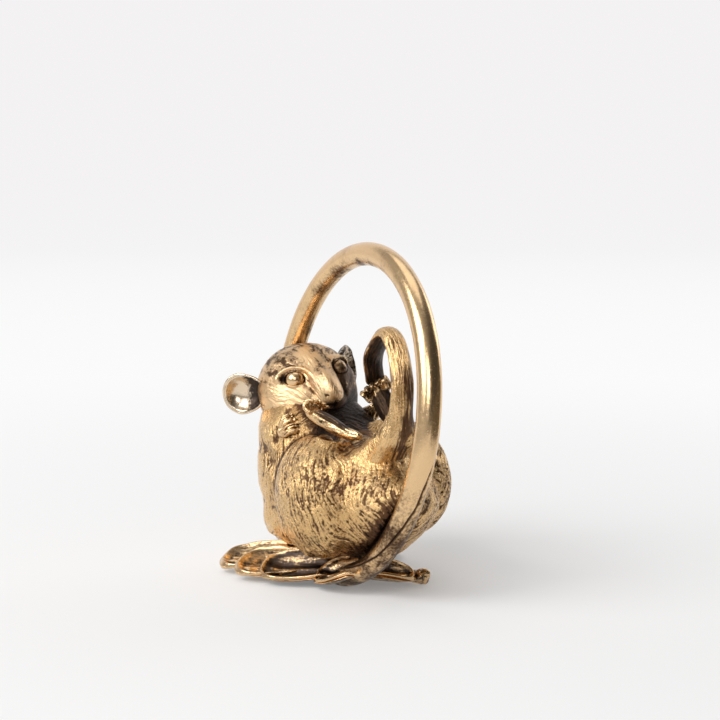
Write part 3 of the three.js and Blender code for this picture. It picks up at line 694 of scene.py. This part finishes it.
EYE_PLACE = {side: head_place.inverted() @ middle for side, middle in EYE_MIDDLE.items()}


def lobe(rays, towards, narrow):
    """A swelling of the head about a direction."""
    return np.exp(narrow * (rays @ np.array(Vector(towards).normalized()) - 1))


def seen_from(rays, towards):
    """Angles to the side and upwards from a direction on the head."""
    facing = Vector(towards).normalized()
    aside = Vector((0, 0, 1)).cross(facing).normalized()
    up = facing.cross(aside)
    ahead = np.maximum(rays @ np.array(facing), 1e-3)
    return np.arctan2(rays @ np.array(aside), ahead), np.arctan2(rays @ np.array(up), ahead)


def spot(aside, up, wide, high):
    return np.exp(-((aside / wide) ** 2) - (up / high) ** 2)


def face(rays):
    """How far the head's surface is from its middle along each ray, and how dark the face is there, with
    patina and painted light and shade.
    """
    radius = 1 / np.linalg.norm(rays / SKULL_HALF, axis=1)
    patina_and_shade = np.full(len(rays), 0.12)
    for towards, narrow, height in SWELLINGS.values():
        radius += height * lobe(rays, towards, narrow)
    for side in (RIGHT, LEFT):
        aside, up = seen_from(rays, EYE_TOWARDS[side])
        aside = aside * side
        slant = up - EYE_SLANT * aside
        off_axis = np.arccos(np.clip(rays @ np.array(EYE_PLACE[side].normalized()), -1, 1))
        far = EYE_PLACE[side].length
        near, offset = far * np.cos(off_axis), far * np.sin(off_axis)
        bead = near + np.sqrt(np.clip(EYE_RADIUS**2 - offset**2, 0, None))
        lid = near + np.sqrt(np.clip((EYE_RADIUS + LID_THICKNESS) ** 2 - offset**2, 0, None))
        opening = np.hypot(aside / OPEN_WIDE, slant / np.where(slant > 0, OPEN_ABOVE, OPEN_BELOW))
        opened = eased(opening, 1.06, 0.94)
        lidded = np.where(off_axis < LID_REACH, -melded(-radius, -lid, LID_BLEND), radius)
        radius = lidded * (1 - opened) + np.minimum(radius, bead - SOCKET_DEPTH) * opened
        over_eye = eased(slant, -0.12, 0.04) * eased(aside, -0.42, -0.26)
        brow = bell(opening - BROW_AT, BROW_WIDTH) * over_eye
        under_brow = bell(opening - UNDER_BROW_AT, 0.13) * over_eye
        crease = bell(opening - 1, 0.12)
        corner = spot(aside - 0.27, slant, 0.07, 0.12)
        tear = spot(aside + 0.33, slant + 0.14 - 0.5 * aside, 0.06, 0.16)
        covered = np.maximum(eased(slant, -0.02, 0.14), eased(aside, 0.06, 0.2))
        radius += BROW_HEIGHT * brow - UNDER_BROW_DEPTH * under_brow
        radius -= TEAR_DEPTH * tear + CORNER_DEPTH * corner * (1 - opened)
        patina_and_shade += crease * (0.15 + 0.9 * covered) + 0.9 * corner + 0.4 * tear - 0.3 * brow
        patina_and_shade += under_brow * (0.2 + 0.5 * eased(aside, -0.15, 0.15))
        beside, up = seen_from(rays, (0.9, side * 0.32, 0.2))
        valley = spot(beside - 0.25 * up * side, up, 0.1, 0.26)
        radius -= VALLEY_DEPTH * valley
        patina_and_shade += 0.3 * valley * eased(np.abs(rippled(rays, 0.09, 0.06, 0.2)), 0.3, 0.05)
    aside, up = seen_from(rays, SNOUT)
    radius -= 0.25 * spot(aside, up - 0.55, 0.2, 0.14)
    bridge = spot(aside, up - 0.25, 0.17, 0.36)
    nose = spot(aside, up - 0.03, 0.12, 0.1)
    cleft = spot(aside, up + 0.12, 0.022, 0.07)
    mouth = spot(aside, up + 0.15 - 0.5 * aside**2, 0.42, 0.035)
    nostrils = spot(np.abs(aside) - NOSTRIL_ASIDE, up - 0.02, 0.024, 0.02)
    # Painted shade under the mouth and on the far, left side of the face.
    shade_under_mouth = eased(up, -0.12, -0.24) * eased(np.abs(aside), 1.0, 0.5)
    far_side_shade = eased(aside, 0.04, 0.5) * eased(aside, 1.5, 0.7) * eased(up, 0.85, 0.3)
    far_side_shade *= eased(rays[:, 0], -0.1, 0.4)
    radius += BRIDGE_HEIGHT * bridge + NOSE_HEIGHT * nose
    radius -= CLEFT_DEPTH * cleft + MOUTH_DEPTH * mouth + NOSTRIL_DEPTH * nostrils
    patina_and_shade += 0.9 * mouth + 0.6 * cleft + nostrils + 0.9 * shade_under_mouth + 0.8 * far_side_shade
    # Painted highlight: the right cheek is lighter.
    patina_and_shade -= 0.25 * lobe(rays, (0.7, -0.7, -0.1), 6)
    return radius, patina_and_shade


HEAD_CUTS = 120
CHIN_FILLET = 3.0
mesh = mesh_of("cast_head", ball(HEAD_CUTS))
rays = places_of(mesh)
radius, patina_and_shade = face(rays)
from_snout = np.arccos(np.clip(rays @ np.array(SNOUT), -1, 1))
parting = np.arctan2(rays[:, 1] + 0.12, rays[:, 2] + 0.2) * 3.0 + 0.3 * rippled(rays, 0.4)
strokes = np.column_stack([from_snout * 5.5, parting, rays[:, 0]])
furred = eased(from_snout, 0.6, 1.3)
stroke = rippled(strokes, 1.5, 0.26, 2.0) * (0.4 + 0.6 * furred)
smudge = eased(rippled(strokes, 4.0, 0.45, 2.0), -0.6, 0.8) * eased(rays[:, 2], 0.2, 0.65)
lump = rippled(rays, 0.35)
radius += 0.05 * stroke + 0.05 * lump
patina_and_shade += 0.08 + 0.15 * furred - 0.25 * stroke - 0.12 * lump + 0.35 * smudge
middle = np.array(head_place.translation)
head = turned(rays * radius[:, None], head_place)
head = filleted(head, turned(rays, head_place) - middle, torso_gap(head), CHIN_FILLET)
patina_and_shade += 0.25 * eased(torso_gap(head), 0.9, 0.0)
patina_and_shade += 0.7 * eased(hoop_gap(turned(head, animal)), 1.0, 0.1)
head = turned(clear_of_hoop(head, middle), animal)
face_brass = brass(
    "face_brass", [0.79, 0.54, 0.30], [0.09, 0.05, 0.026], 0.34,
    blush=0.7, hairy=0.45, grainy=0.3, relief=0.8,
)
placed("head", mesh, head, patina_and_shade, strokes, face_brass)

# Eyes: two polished beads set in the sockets, dark where the lids cover them. The left one, by the curl of
# the tail, is painted darker as shade.
LEFT_SIDE_SHADE = {RIGHT: 0, LEFT: 0.6}
for eye_name, side in both("eye"):
    mesh = mesh_of("bead_" + eye_name, ball(26))
    globe = places_of(mesh)
    facing = np.array((head_place.to_3x3() @ EYE_TOWARDS[side]).normalized())
    front = np.arccos(np.clip(globe @ facing, -1, 1))
    eye = turned(np.array(EYE_MIDDLE[side]) + globe * EYE_RADIUS, animal)
    patina_and_shade = 0.08 + 0.9 * eased(front, 1.0, 1.4) + LEFT_SIDE_SHADE[side]
    placed(eye_name, mesh, eye, patina_and_shade, globe, rubbed_brass)

# Ears: thin round dishes with a rolled rim, brazed on at the back of the skull. The rims are worn to gold and
# the dishes are painted dark as shade at their root on the side of the head, the left ear more.
EAR_RADIUS, EAR_DISH, EAR_RIM, EAR_OUT, EAR_STEPS = 2.65, 1.25, 0.18, 2.0, 96
EAR_ROOT_REACH, EAR_ROOT_DEPTH = 0.55, 0.5
EAR_LIP = [radians(angle) for angle in (150, 110, 70, 30, -10, -50)]
ear_brass = brass(
    "ear_brass", [0.78, 0.63, 0.46], [0.055, 0.04, 0.032], 0.22,
    blush=0.25, hairy=0.15, grainy=0.3, relief=0.15,
)
for ear_name, side in both("ear"):
    facing = Vector((0.64, side * 0.76, 0.1)).normalized()
    seat = np.array(Vector((-0.34, side * 0.94, 0.03)).normalized())
    seat = seat * (1 / np.linalg.norm(seat / SKULL_HALF) + EAR_OUT)
    tilt = Vector((0, 0, 1)).rotation_difference(facing).to_matrix().to_4x4()
    ear_place = head_place @ Matrix.Translation(seat) @ tilt
    dish = lambda share: -EAR_DISH * (1 - share**2.6)
    inner = [(s * (EAR_RADIUS - 2 * EAR_RIM), dish(s) + 0.38) for s in np.linspace(0, 1, 14)]
    rim = [(EAR_RADIUS - EAR_RIM + EAR_RIM * cos(a), 0.2 + EAR_RIM * sin(a)) for a in EAR_LIP]
    back = [(s * (EAR_RADIUS - 0.12), dish(s) - 0.12) for s in np.linspace(0.94, 0, 14)]
    bm = bmesh.new()
    profile = [bm.verts.new((x, 0, z)) for x, z in inner + rim + back]
    for first, second in zip(profile, profile[1:]):
        bm.edges.new((first, second))
    mesh = mesh_of("cast_" + ear_name, spun(bm, (0, 0, 1), EAR_STEPS))
    ear = places_of(mesh)
    inward = ear_place.to_3x3().inverted() @ (head_place.to_3x3() @ Vector(-seat))
    inward = np.array(inward.to_2d().normalized())
    off_axis = np.hypot(ear[:, 0], ear[:, 1]) / EAR_RADIUS
    to_head = (ear[:, :2] @ inward) / EAR_RADIUS
    root = eased(to_head, 0.2, 1.0)
    ear[:, :2] += inward * (EAR_ROOT_REACH * root)[:, None]
    ear[:, 2] -= EAR_ROOT_DEPTH * root
    ear[:, 2] += 0.12 * rippled(ear, 1.3) * off_axis
    # Painted shade towards the head, darker on the left ear.
    patina_and_shade = 0.1 + 1.1 * eased(to_head, -0.15, 0.65) * eased(off_axis, 0.98, 0.85) + LEFT_SIDE_SHADE[side]
    strokes = np.column_stack([off_axis * 2.5, np.arctan2(ear[:, 1], ear[:, 0]) * 2, ear[:, 2]])
    ear = turned(turned(ear, ear_place), animal)
    placed(ear_name, mesh, ear, patina_and_shade, strokes, ear_brass)

# Hind feet: slender feet that stand up from the folded legs towards the face, soles up, with five toes that
# curl over. The toes are rubbed bright and the soles are dark.
HEEL, BALL = (6.6, 2.2, -3.0), {RIGHT: (-0.8, -4.5, -0.3), LEFT: (1.8, 3.1, 0.8)}
FOOT_WIDTH, FOOT_FLATNESS, HEEL_SUNK = 2.8, 0.72, 0.9
TOES, TOE_WIDTH, TOE_SPAN, TOE_SETBACK, TOE_FAN, TOE_HOOK, TOE_REACH = 5, 0.74, 2.9, 0.4, 0.4, 0.85, 1.25
TOE_BENDS = [radians(angle) for angle in (0, 40, 80, 120, 165)]
MELT_VOXEL = 0.075


def melted(name, shapes, smoothing):
    """Overlapping closed shapes melted into one skin."""
    bm = bmesh.new()
    for mesh, points in shapes:
        mesh.vertices.foreach_set("co", points.ravel())
        bm.from_mesh(mesh)
        bpy.data.meshes.remove(mesh)
    loose = linked(name, mesh_of(name + "_loose", bm))
    skin = loose.modifiers.new("skin", "REMESH")
    skin.mode = "VOXEL"
    skin.voxel_size = MELT_VOXEL
    ready = loose.evaluated_get(bpy.context.evaluated_depsgraph_get())
    whole = bpy.data.meshes.new_from_object(ready)
    bpy.data.objects.remove(loose)
    bm = bmesh.new()
    bm.from_mesh(whole)
    bpy.data.meshes.remove(whole)
    for pass_over in range(smoothing):
        bmesh.ops.smooth_vert(
            bm, verts=bm.verts, factor=0.5, use_axis_x=True, use_axis_y=True, use_axis_z=True,
        )
    return mesh_of(name, bm)


foot_brass = brass(
    "foot_brass", [0.78, 0.53, 0.28], [0.05, 0.03, 0.018], 0.27,
    blush=0.3, hairy=0.4, grainy=0.3, relief=0.35,
)
foot_width = lambda share: FOOT_WIDTH * (0.5 + 0.3 * sin(pi * share) + 0.34 * share)
toe_width = lambda share: TOE_WIDTH * (1 - 0.25 * share + 0.14 * sin(pi * share))
for foot_name, side in both("hind_foot"):
    heel, tread = np.array(HEEL) * (1, side, 1), np.array(BALL[side])
    reach = np.linalg.norm(tread - heel)
    along = (tread - heel) / reach
    across = np.array([0.46, side * 0.74, 0.49])
    across = across - along * (across @ along)
    across /= np.linalg.norm(across)
    sole = np.cross(along, across)
    sole *= np.sign(sole[2])
    instep = [heel + along * 2.6 - sole * 0.25, heel + along * 5 - sole * 0.15]
    knots = [heel + along * HEEL_SUNK, *instep, tread]
    shapes = [limb("foot", 24, 30, knots, foot_width, FOOT_FLATNESS, across)[:2]]
    for toe in range(TOES):
        spread = toe / (TOES - 1) - 0.5
        root = tread + across * spread * TOE_SPAN - along * TOE_SETBACK
        hook = TOE_HOOK * (1 - 0.6 * spread**2)
        ahead = (along + across * spread * TOE_FAN) * hook * TOE_REACH
        curl = [root + ahead * sin(bend) + sole * hook * (1 - cos(bend)) for bend in TOE_BENDS]
        shapes.append(limb("toe", 14, 20, curl, toe_width)[:2])
    mesh = melted("cast_" + foot_name, shapes, 3)
    foot = places_of(mesh)
    out = normals_of(mesh, foot)
    strokes = (foot - heel) @ np.column_stack([along, across, sole])
    forward = strokes[:, 0]
    stroke = rippled(strokes, 1.4, 0.22, 0.22)
    wrinkle = eased(out @ sole, 0.1, 0.7) * eased(forward, 1, 3)
    flank = eased(out @ across, 0.6, 0.95) * eased(forward, reach, reach - 1.5)
    foot = turned(raised(foot, out, 0.06 * stroke - 0.16 * wrinkle - 0.14 * flank), forequarters)
    # The left foot is painted darker as shade.
    patina_and_shade = 0.15 + LEFT_SIDE_SHADE[side] / 2 - 0.35 * stroke + 0.45 * flank
    patina_and_shade += 0.85 * wrinkle * eased(forward, reach - 0.3, reach - 1.2)
    patina_and_shade += 0.5 * eased(torso_gap(foot), 0.7, 0.0)
    placed(foot_name, mesh, turned(foot, animal), patina_and_shade, strokes, foot_brass)

# Forepaws: short arms tucked against the chest, with small hands of four fingers under the chin.
SHOULDER, ELBOW, PALM = (-9.0, 5.6, -4.6), (-6.6, 5.9, -3.6), (-5.7, 6.7, -2.7)
ARM_WIDTH, PAW_WIDTH, PALM_LIFT, FINGERS, FINGER_WIDTH, FINGER_FAN = 2.6, 1.8, 0.5, 4, 0.8, 0.6
FINGER_BENDS = [(0, 0), (0.9, 0.3), (1.7, 0.1), (2.0, -0.4)]
arm_width = lambda share: ARM_WIDTH + (PAW_WIDTH - ARM_WIDTH) * share
finger_width = lambda share: FINGER_WIDTH * (1 - 0.2 * share)
for paw_name, side in both("forepaw"):
    shoulder, elbow, palm = np.array([SHOULDER, ELBOW, PALM]) * (1, side, 1)
    along = (palm - elbow) / np.linalg.norm(palm - elbow)
    point = np.array([0.49, -side * 0.78, 0.38])
    across = np.array([0.79, side * 0.2, -0.58])
    grip = np.cross(point, across) * side
    shapes = [limb("arm", 20, 24, [shoulder, elbow, palm], arm_width)[:2]]
    for finger in range(FINGERS):
        spread = finger / (FINGERS - 1) - 0.5
        root = palm + grip * PALM_LIFT + across * spread * PAW_WIDTH
        fan = (point + across * spread * FINGER_FAN) * (1 - 0.5 * spread**2)
        bend = [root + fan * ahead + grip * lift for ahead, lift in FINGER_BENDS]
        shapes.append(limb("finger", 12, 12, bend, finger_width)[:2])
    mesh = melted("cast_" + paw_name, shapes, 3)
    paw = places_of(mesh)
    out = normals_of(mesh, paw)
    strokes = (paw - elbow) @ np.column_stack([along, across, grip])
    stroke = rippled(strokes, 1.2, 0.22, 0.22) * eased(strokes[:, 0], 2.4, 1.2)
    on_hand = eased((paw - palm) @ point, -0.6, 0.2)
    lane = ((paw - palm) @ across) / PAW_WIDTH * (FINGERS - 1) + (FINGERS - 1) / 2
    between = eased(np.abs(np.mod(lane, 1) - 0.5), 0.22, 0.05) * on_hand
    paw = turned(raised(paw, out, 0.05 * stroke - 0.12 * between), forequarters)
    patina_and_shade = 0.05 - 0.3 * stroke + 0.6 * between + 0.5 * eased(torso_gap(paw), 0.4, 0.0)
    placed(paw_name, mesh, turned(paw, animal), patina_and_shade, strokes, foot_brass)

# Twig: the stalk of the spray, cast with a knobbly bud at its end and pressed under the rump from the hoop to
# the left.
TWIG_WIDTH = 1.7
TWIG_HEIGHT = TWIG_WIDTH / 2
TWIG_KNOTS = [(x, y, TWIG_HEIGHT) for x, y in ((-5, -0.5), (-1, 1.4), (3.5, 3.2), (7.5, 5.8))]
BUD_KNOBS = [(0, 0, 0.1, 1.9), (0.35, 0.3, 0.45, 1.2), (0.5, -0.35, 0.1, 1.1), (-0.2, 0.55, 0.2, 1.1),
             (0.45, 0.15, -0.25, 1.0), (0.1, -0.3, 0.6, 0.9)]
leaf_brass = brass(
    "leaf_brass", [0.76, 0.52, 0.29], [0.075, 0.055, 0.045], 0.22,
    blush=0.3, hairy=0.3, grainy=0.3, relief=0.3,
)
twig_width = lambda share: TWIG_WIDTH * (1 - 0.12 * sin(9 * share))
shapes = [limb("stalk", 24, 70, TWIG_KNOTS, twig_width)[:2]]
for *off_end, width in BUD_KNOBS:
    knob_mesh = mesh_of("knob", ball(10))
    shapes.append((knob_mesh, places_of(knob_mesh) * width / 2 + np.array(TWIG_KNOTS[-1]) + off_end))
mesh = melted("cast_twig", shapes, 2)
twig = places_of(mesh)
strokes = twig * (1, 1.5, 1)
bark = rippled(twig, 0.9, 0.5, 0.25)
twig = raised(twig, normals_of(mesh, twig), 0.08 * bark)
twig[:, 2] = np.maximum(twig[:, 2], 0)
patina_and_shade = 0.5 - 0.6 * bark + 0.3 * eased(twig[:, 0], 5, 2)
placed("twig", mesh, turned(twig, animal), patina_and_shade, strokes, leaf_brass)

# Leaves: thin dished castings that spring from the hoop's foot and from the twig and carry the figure. The
# rims curl up and are worn to gold, a midrib and side veins stand up from the dark glossy dish. Each has its
# carrier, the place there, its tip, its width, its arch, its tilt in degrees and its patina.
LEAVES = [
    ("leaf_rear_right", "hoop", -4.5, (-9, -13.4, 0.2), 5.8, 0.3, -19, 0.15),
    ("leaf_right", "hoop", -0.5, (-4.6, -13.2, 0.2), 5.8, 0, -23, 0.25),
    ("leaf_front_right", "hoop", 4, (-2.4, -11.0, 0.2), 6.4, -0.2, -25, 0.75),
    ("leaf_front", "hoop", 9.5, (3.6, -6.8, 0.5), 5.4, -0.1, -25, 0.45),
    ("leaf_tail", "hoop", 4.4, (8.2, 4.7, 0.4), 3.3, 0.5, 28, 0.5),
    ("leaf_left", "twig", -1.5, (-9.0, 10.6, 0.1), 5.4, 0.9, 18, 0.5),
    ("leaf_rear_left", "twig", -4.4, (-14, 6.2, 0.1), 5.2, 1.2, 18, 0.5),
]
LEAF_THICKNESS, LEAF_DISH, LEAF_CURL, LEAF_LIP, LEAF_BLUNT, LEAF_RIBS = 0.5, 0.5, 0.7, 0.3, 2.4, 3
LEAF_ROOT, LEAF_TIP, LEAF_LIFT = 0.78, 1.0, 0.35
MIDRIB_WIDTH, MIDRIB_HEIGHT, RIB_HEIGHT = 0.16, 0.1, 0.09
RIPPLE_HEIGHT, ROLL_RISE, DITCH_DEPTH = 0.15, 0.16, 0.08


def leaf_root(carrier, x):
    """Where a leaf springs from the middle of the rod or of the twig, in the animal's frame."""
    if carrier == "hoop":
        angle = asin(x / HOOP_RADIUS) - pi / 2
        on_ring = Vector((HOOP_RADIUS * cos(angle), 0, HOOP_RADIUS * sin(angle)))
        return animal.inverted() @ hoop_place @ on_ring
    knots = np.array(TWIG_KNOTS)
    return Vector([np.interp(x, knots[:, 0], knots[:, axis]) for axis in range(3)])


for seed, (leaf_name, carrier, x, tip, width, arch, tilt, patina) in enumerate(LEAVES):
    root = leaf_root(carrier, x)
    run = Vector(tip) - root
    length = run.to_2d().length
    leaf_place = (
        Matrix.Translation(root)
        @ Matrix.Rotation(atan2(run.y, run.x), 4, "Z")
        @ Matrix.Rotation(radians(tilt), 4, "X")
    )
    bm = bmesh.new()
    bmesh.ops.create_grid(bm, x_segments=80, y_segments=44, size=1)
    mesh = mesh_of("cast_" + leaf_name, bm)
    grid = places_of(mesh)
    share = (1 - np.cos(pi * (grid[:, 0] * 0.97 + 1) / 2)) / 2
    to_end = np.abs(2 * share - 1) ** LEAF_BLUNT
    across = grid[:, 1] * (1 - to_end) ** (1 / LEAF_BLUNT)
    to_rim = (to_end + np.abs(across) ** LEAF_BLUNT) ** (1 / LEAF_BLUNT)
    broad = across * (LEAF_ROOT + (LEAF_TIP - LEAF_ROOT) * share)
    waves = np.column_stack([share * length, across * width / 2, np.full(len(share), 5.0 * seed)])
    ripple = rippled(waves, 1.8, 1.8, 1.0)
    open_end = eased(share, 0.03, 0.3)
    midrib = bell(broad * width / 2, MIDRIB_WIDTH) * eased(share, 0.95, 0.7)
    rib = np.cos(pi * (LEAF_RIBS * grid[:, 1] + 0.4 * ripple)) * eased(to_rim, 0.95, 0.75)
    rim = eased(to_rim, 0.82, 0.92)
    roll = bell(to_rim - 0.92, 0.05) * open_end
    ditch = bell(to_rim - 0.78, 0.06)
    height = run.z * share + arch * np.sin(pi * share) + LEAF_DISH * broad**2
    height += (LEAF_CURL * eased(to_rim, 0.45, 0.95) - LEAF_LIP * eased(to_rim, 0.93, 1.0)) * open_end
    height += MIDRIB_HEIGHT * midrib + RIB_HEIGHT * rib + RIPPLE_HEIGHT * ripple * to_rim**2
    height += ROLL_RISE * roll - DITCH_DEPTH * ditch
    blade = np.column_stack([share * length, broad * width / 2 * (1 + 0.05 * ripple), height])
    leaf = turned(turned(blade, leaf_place), animal)
    leaf[:, 2] += max(LEAF_THICKNESS + LEAF_LIFT - leaf[:, 2].min(), 0)
    patina_and_shade = patina + 0.15 - 0.95 * rim - 0.15 * midrib - 0.25 * rib + 0.25 * ripple + 0.4 * ditch
    patina_and_shade += 0.5 * eased(share, 0.3, 0.05)
    casting = placed(leaf_name, mesh, leaf, patina_and_shade, waves, leaf_brass)
    wall = casting.modifiers.new("wall", "SOLIDIFY")
    wall.thickness = LEAF_THICKNESS * MM
    wall.offset = -1
    rounding = casting.modifiers.new("rounding", "SUBSURF")
    rounding.levels = rounding.render_levels = 1

# Stage: a pale sweep, floor and back in one sheet, under soft studio light. A low black card to the right,
# which only shows as a reflection, puts a dark edge on the polished rod. Sizes here are in metres.
FLOOR_SPAN, SWEEP_START, SWEEP_RADIUS, SWEEP_HEIGHT = 2.4, 0.9, 0.5, 1.6
VIEW_AZIMUTH = radians(64)
PAPER, PAPER_ROUGHNESS = (0.87, 0.865, 0.86, 1), 0.9
NEAR_GLOW, FAR_GLOW = (0.96, 0.96, 0.96, 1), (0.9, 0.885, 0.893, 1)
away = Vector((-sin(VIEW_AZIMUTH), cos(VIEW_AZIMUTH), 0))
beside = Vector((cos(VIEW_AZIMUTH), sin(VIEW_AZIMUTH), 0))
bm = bmesh.new()
bmesh.ops.create_grid(bm, x_segments=2, y_segments=120, size=1)
for vertex in bm.verts:
    run = (vertex.co.y + 1) / 2 * (FLOOR_SPAN + SWEEP_START + SWEEP_HEIGHT) - FLOOR_SPAN
    past = max(run - SWEEP_START, 0)
    bend = min(past / SWEEP_RADIUS, pi / 2)
    climb = max(past - SWEEP_RADIUS * pi / 2, 0)
    back = min(run, SWEEP_START) + SWEEP_RADIUS * sin(bend)
    vertex.co = beside * vertex.co.x * FLOOR_SPAN + away * back
    vertex.co.z = SWEEP_RADIUS * (1 - cos(bend)) + climb
sweep = linked("sweep", mesh_of("sweep", bm))
sweep.data.shade_smooth()
paper = Finish(bpy.data.materials.new("white_paper"))
paper.feed(paper.shader, {"Base Color": PAPER, "Roughness": PAPER_ROUGHNESS})
# The paper also glows, a little by the figure and fully further out, dimmer far away: painted light that
# lifts the figure's shadow.
on_sweep = paper.node("ShaderNodeTexCoord", output=3)
off_middle = paper.node("ShaderNodeVectorMath", {"operation": "LENGTH"}, {0: on_sweep}, 1)
glow_colour = paper.mixed(paper.eased(off_middle, 0.15, 1.3), NEAR_GLOW, FAR_GLOW)
glow = paper.node("ShaderNodeEmission", None, {"Color": glow_colour})
lit = Tone(paper, paper.shader.outputs[0])
blended = paper.node("ShaderNodeMixShader", None, {0: paper.eased(off_middle, -0.08, 0.22), 1: lit, 2: glow})
paper.feed(paper.tree.nodes["Material Output"], {"Surface": blended})
sweep.data.materials.append(paper.owner)

CARD_ASIDE, CARD_FRONT, CARD_BACK, CARD_LOW, CARD_HIGH = 0.085, -0.14, 0.015, 0.001, 0.045
CARD = (0.08, 0.065, 0.045, 1)
bm = bmesh.new()
lower = [beside * CARD_ASIDE + away * run + Vector((0, 0, CARD_LOW)) for run in (CARD_FRONT, CARD_BACK)]
upper = [corner + Vector((0, 0, CARD_HIGH - CARD_LOW)) for corner in reversed(lower)]
bm.faces.new([bm.verts.new(corner) for corner in lower + upper])
card = linked("black_card", mesh_of("black_card", bm))
black = Finish(bpy.data.materials.new("black_paper"))
black.feed(black.shader, {"Base Color": CARD, "Roughness": PAPER_ROUGHNESS})
card.data.materials.append(black.owner)
card.visible_camera = False

ROOM_LIGHT, ROOM_DARK, ROOM_STRENGTH, DARK_FROM = (0.95, 0.95, 0.96, 1), (0.16, 0.15, 0.14, 1), 0.4, 0.64
room = Finish(bpy.data.worlds.new("studio"), "Background")
bpy.context.scene.world = room.owner
to_dark_side = {0: room.node("ShaderNodeTexCoord"), 1: (beside - away * 0.5).normalized()}
facing_dark = room.node("ShaderNodeVectorMath", {"operation": "DOT_PRODUCT"}, to_dark_side, 1)
darkness = room.node("ShaderNodeMapRange", None, {"Value": facing_dark, "From Max": DARK_FROM})
room.feed(room.shader, {"Color": room.mixed(darkness, ROOM_LIGHT, ROOM_DARK), "Strength": ROOM_STRENGTH})

# Each softbox stands at a swing and a lift in degrees and at a distance, with its size and its power.
SOFTBOXES = [
    ("key", -65, 38, 0.75, 0.5, 4.2),
    ("fill", -12, 30, 0.8, 0.3, 1.2),
    ("top", 170, 75, 0.7, 0.5, 0.8),
    ("edge", 130, 20, 0.8, 0.35, 0.5),
]
LIT_HEIGHT = 0.018
for box_name, swing, lift, far, size, power in SOFTBOXES:
    lamp = bpy.data.lights.new(box_name, "AREA")
    lamp.shape = "SQUARE"
    lamp.size = size
    lamp.energy = power
    softbox = linked(box_name, lamp)
    level = -away * cos(radians(swing)) + beside * sin(radians(swing))
    from_object = level * cos(radians(lift)) + Vector((0, 0, sin(radians(lift))))
    softbox.location = from_object * far + Vector((0, 0, LIT_HEIGHT))
    softbox.rotation_euler = from_object.to_track_quat("Z", "Y").to_euler()

# Camera: a long lens a little above the table, at the photograph's viewing angle.
CAMERA_PLACE = Vector((179.44, -84.85, 47.97)) * MM
CAMERA_AIM = Vector((-0.27, 4.14, 26.21)) * MM
LENS_MM, SENSOR_MM, NEAREST = 84.05, 36, 0.005
lens = bpy.data.cameras.new("photo_view")
lens.lens = LENS_MM
lens.sensor_width = SENSOR_MM
lens.clip_start = NEAREST
camera = linked("photo_view", lens)
camera.location = CAMERA_PLACE
camera.rotation_euler = (CAMERA_PLACE - CAMERA_AIM).to_track_quat("Z", "Y").to_euler()
bpy.context.scene.camera = camera
bpy.context.scene.view_settings.view_transform = "Standard"

bpy.context.view_layer.update()
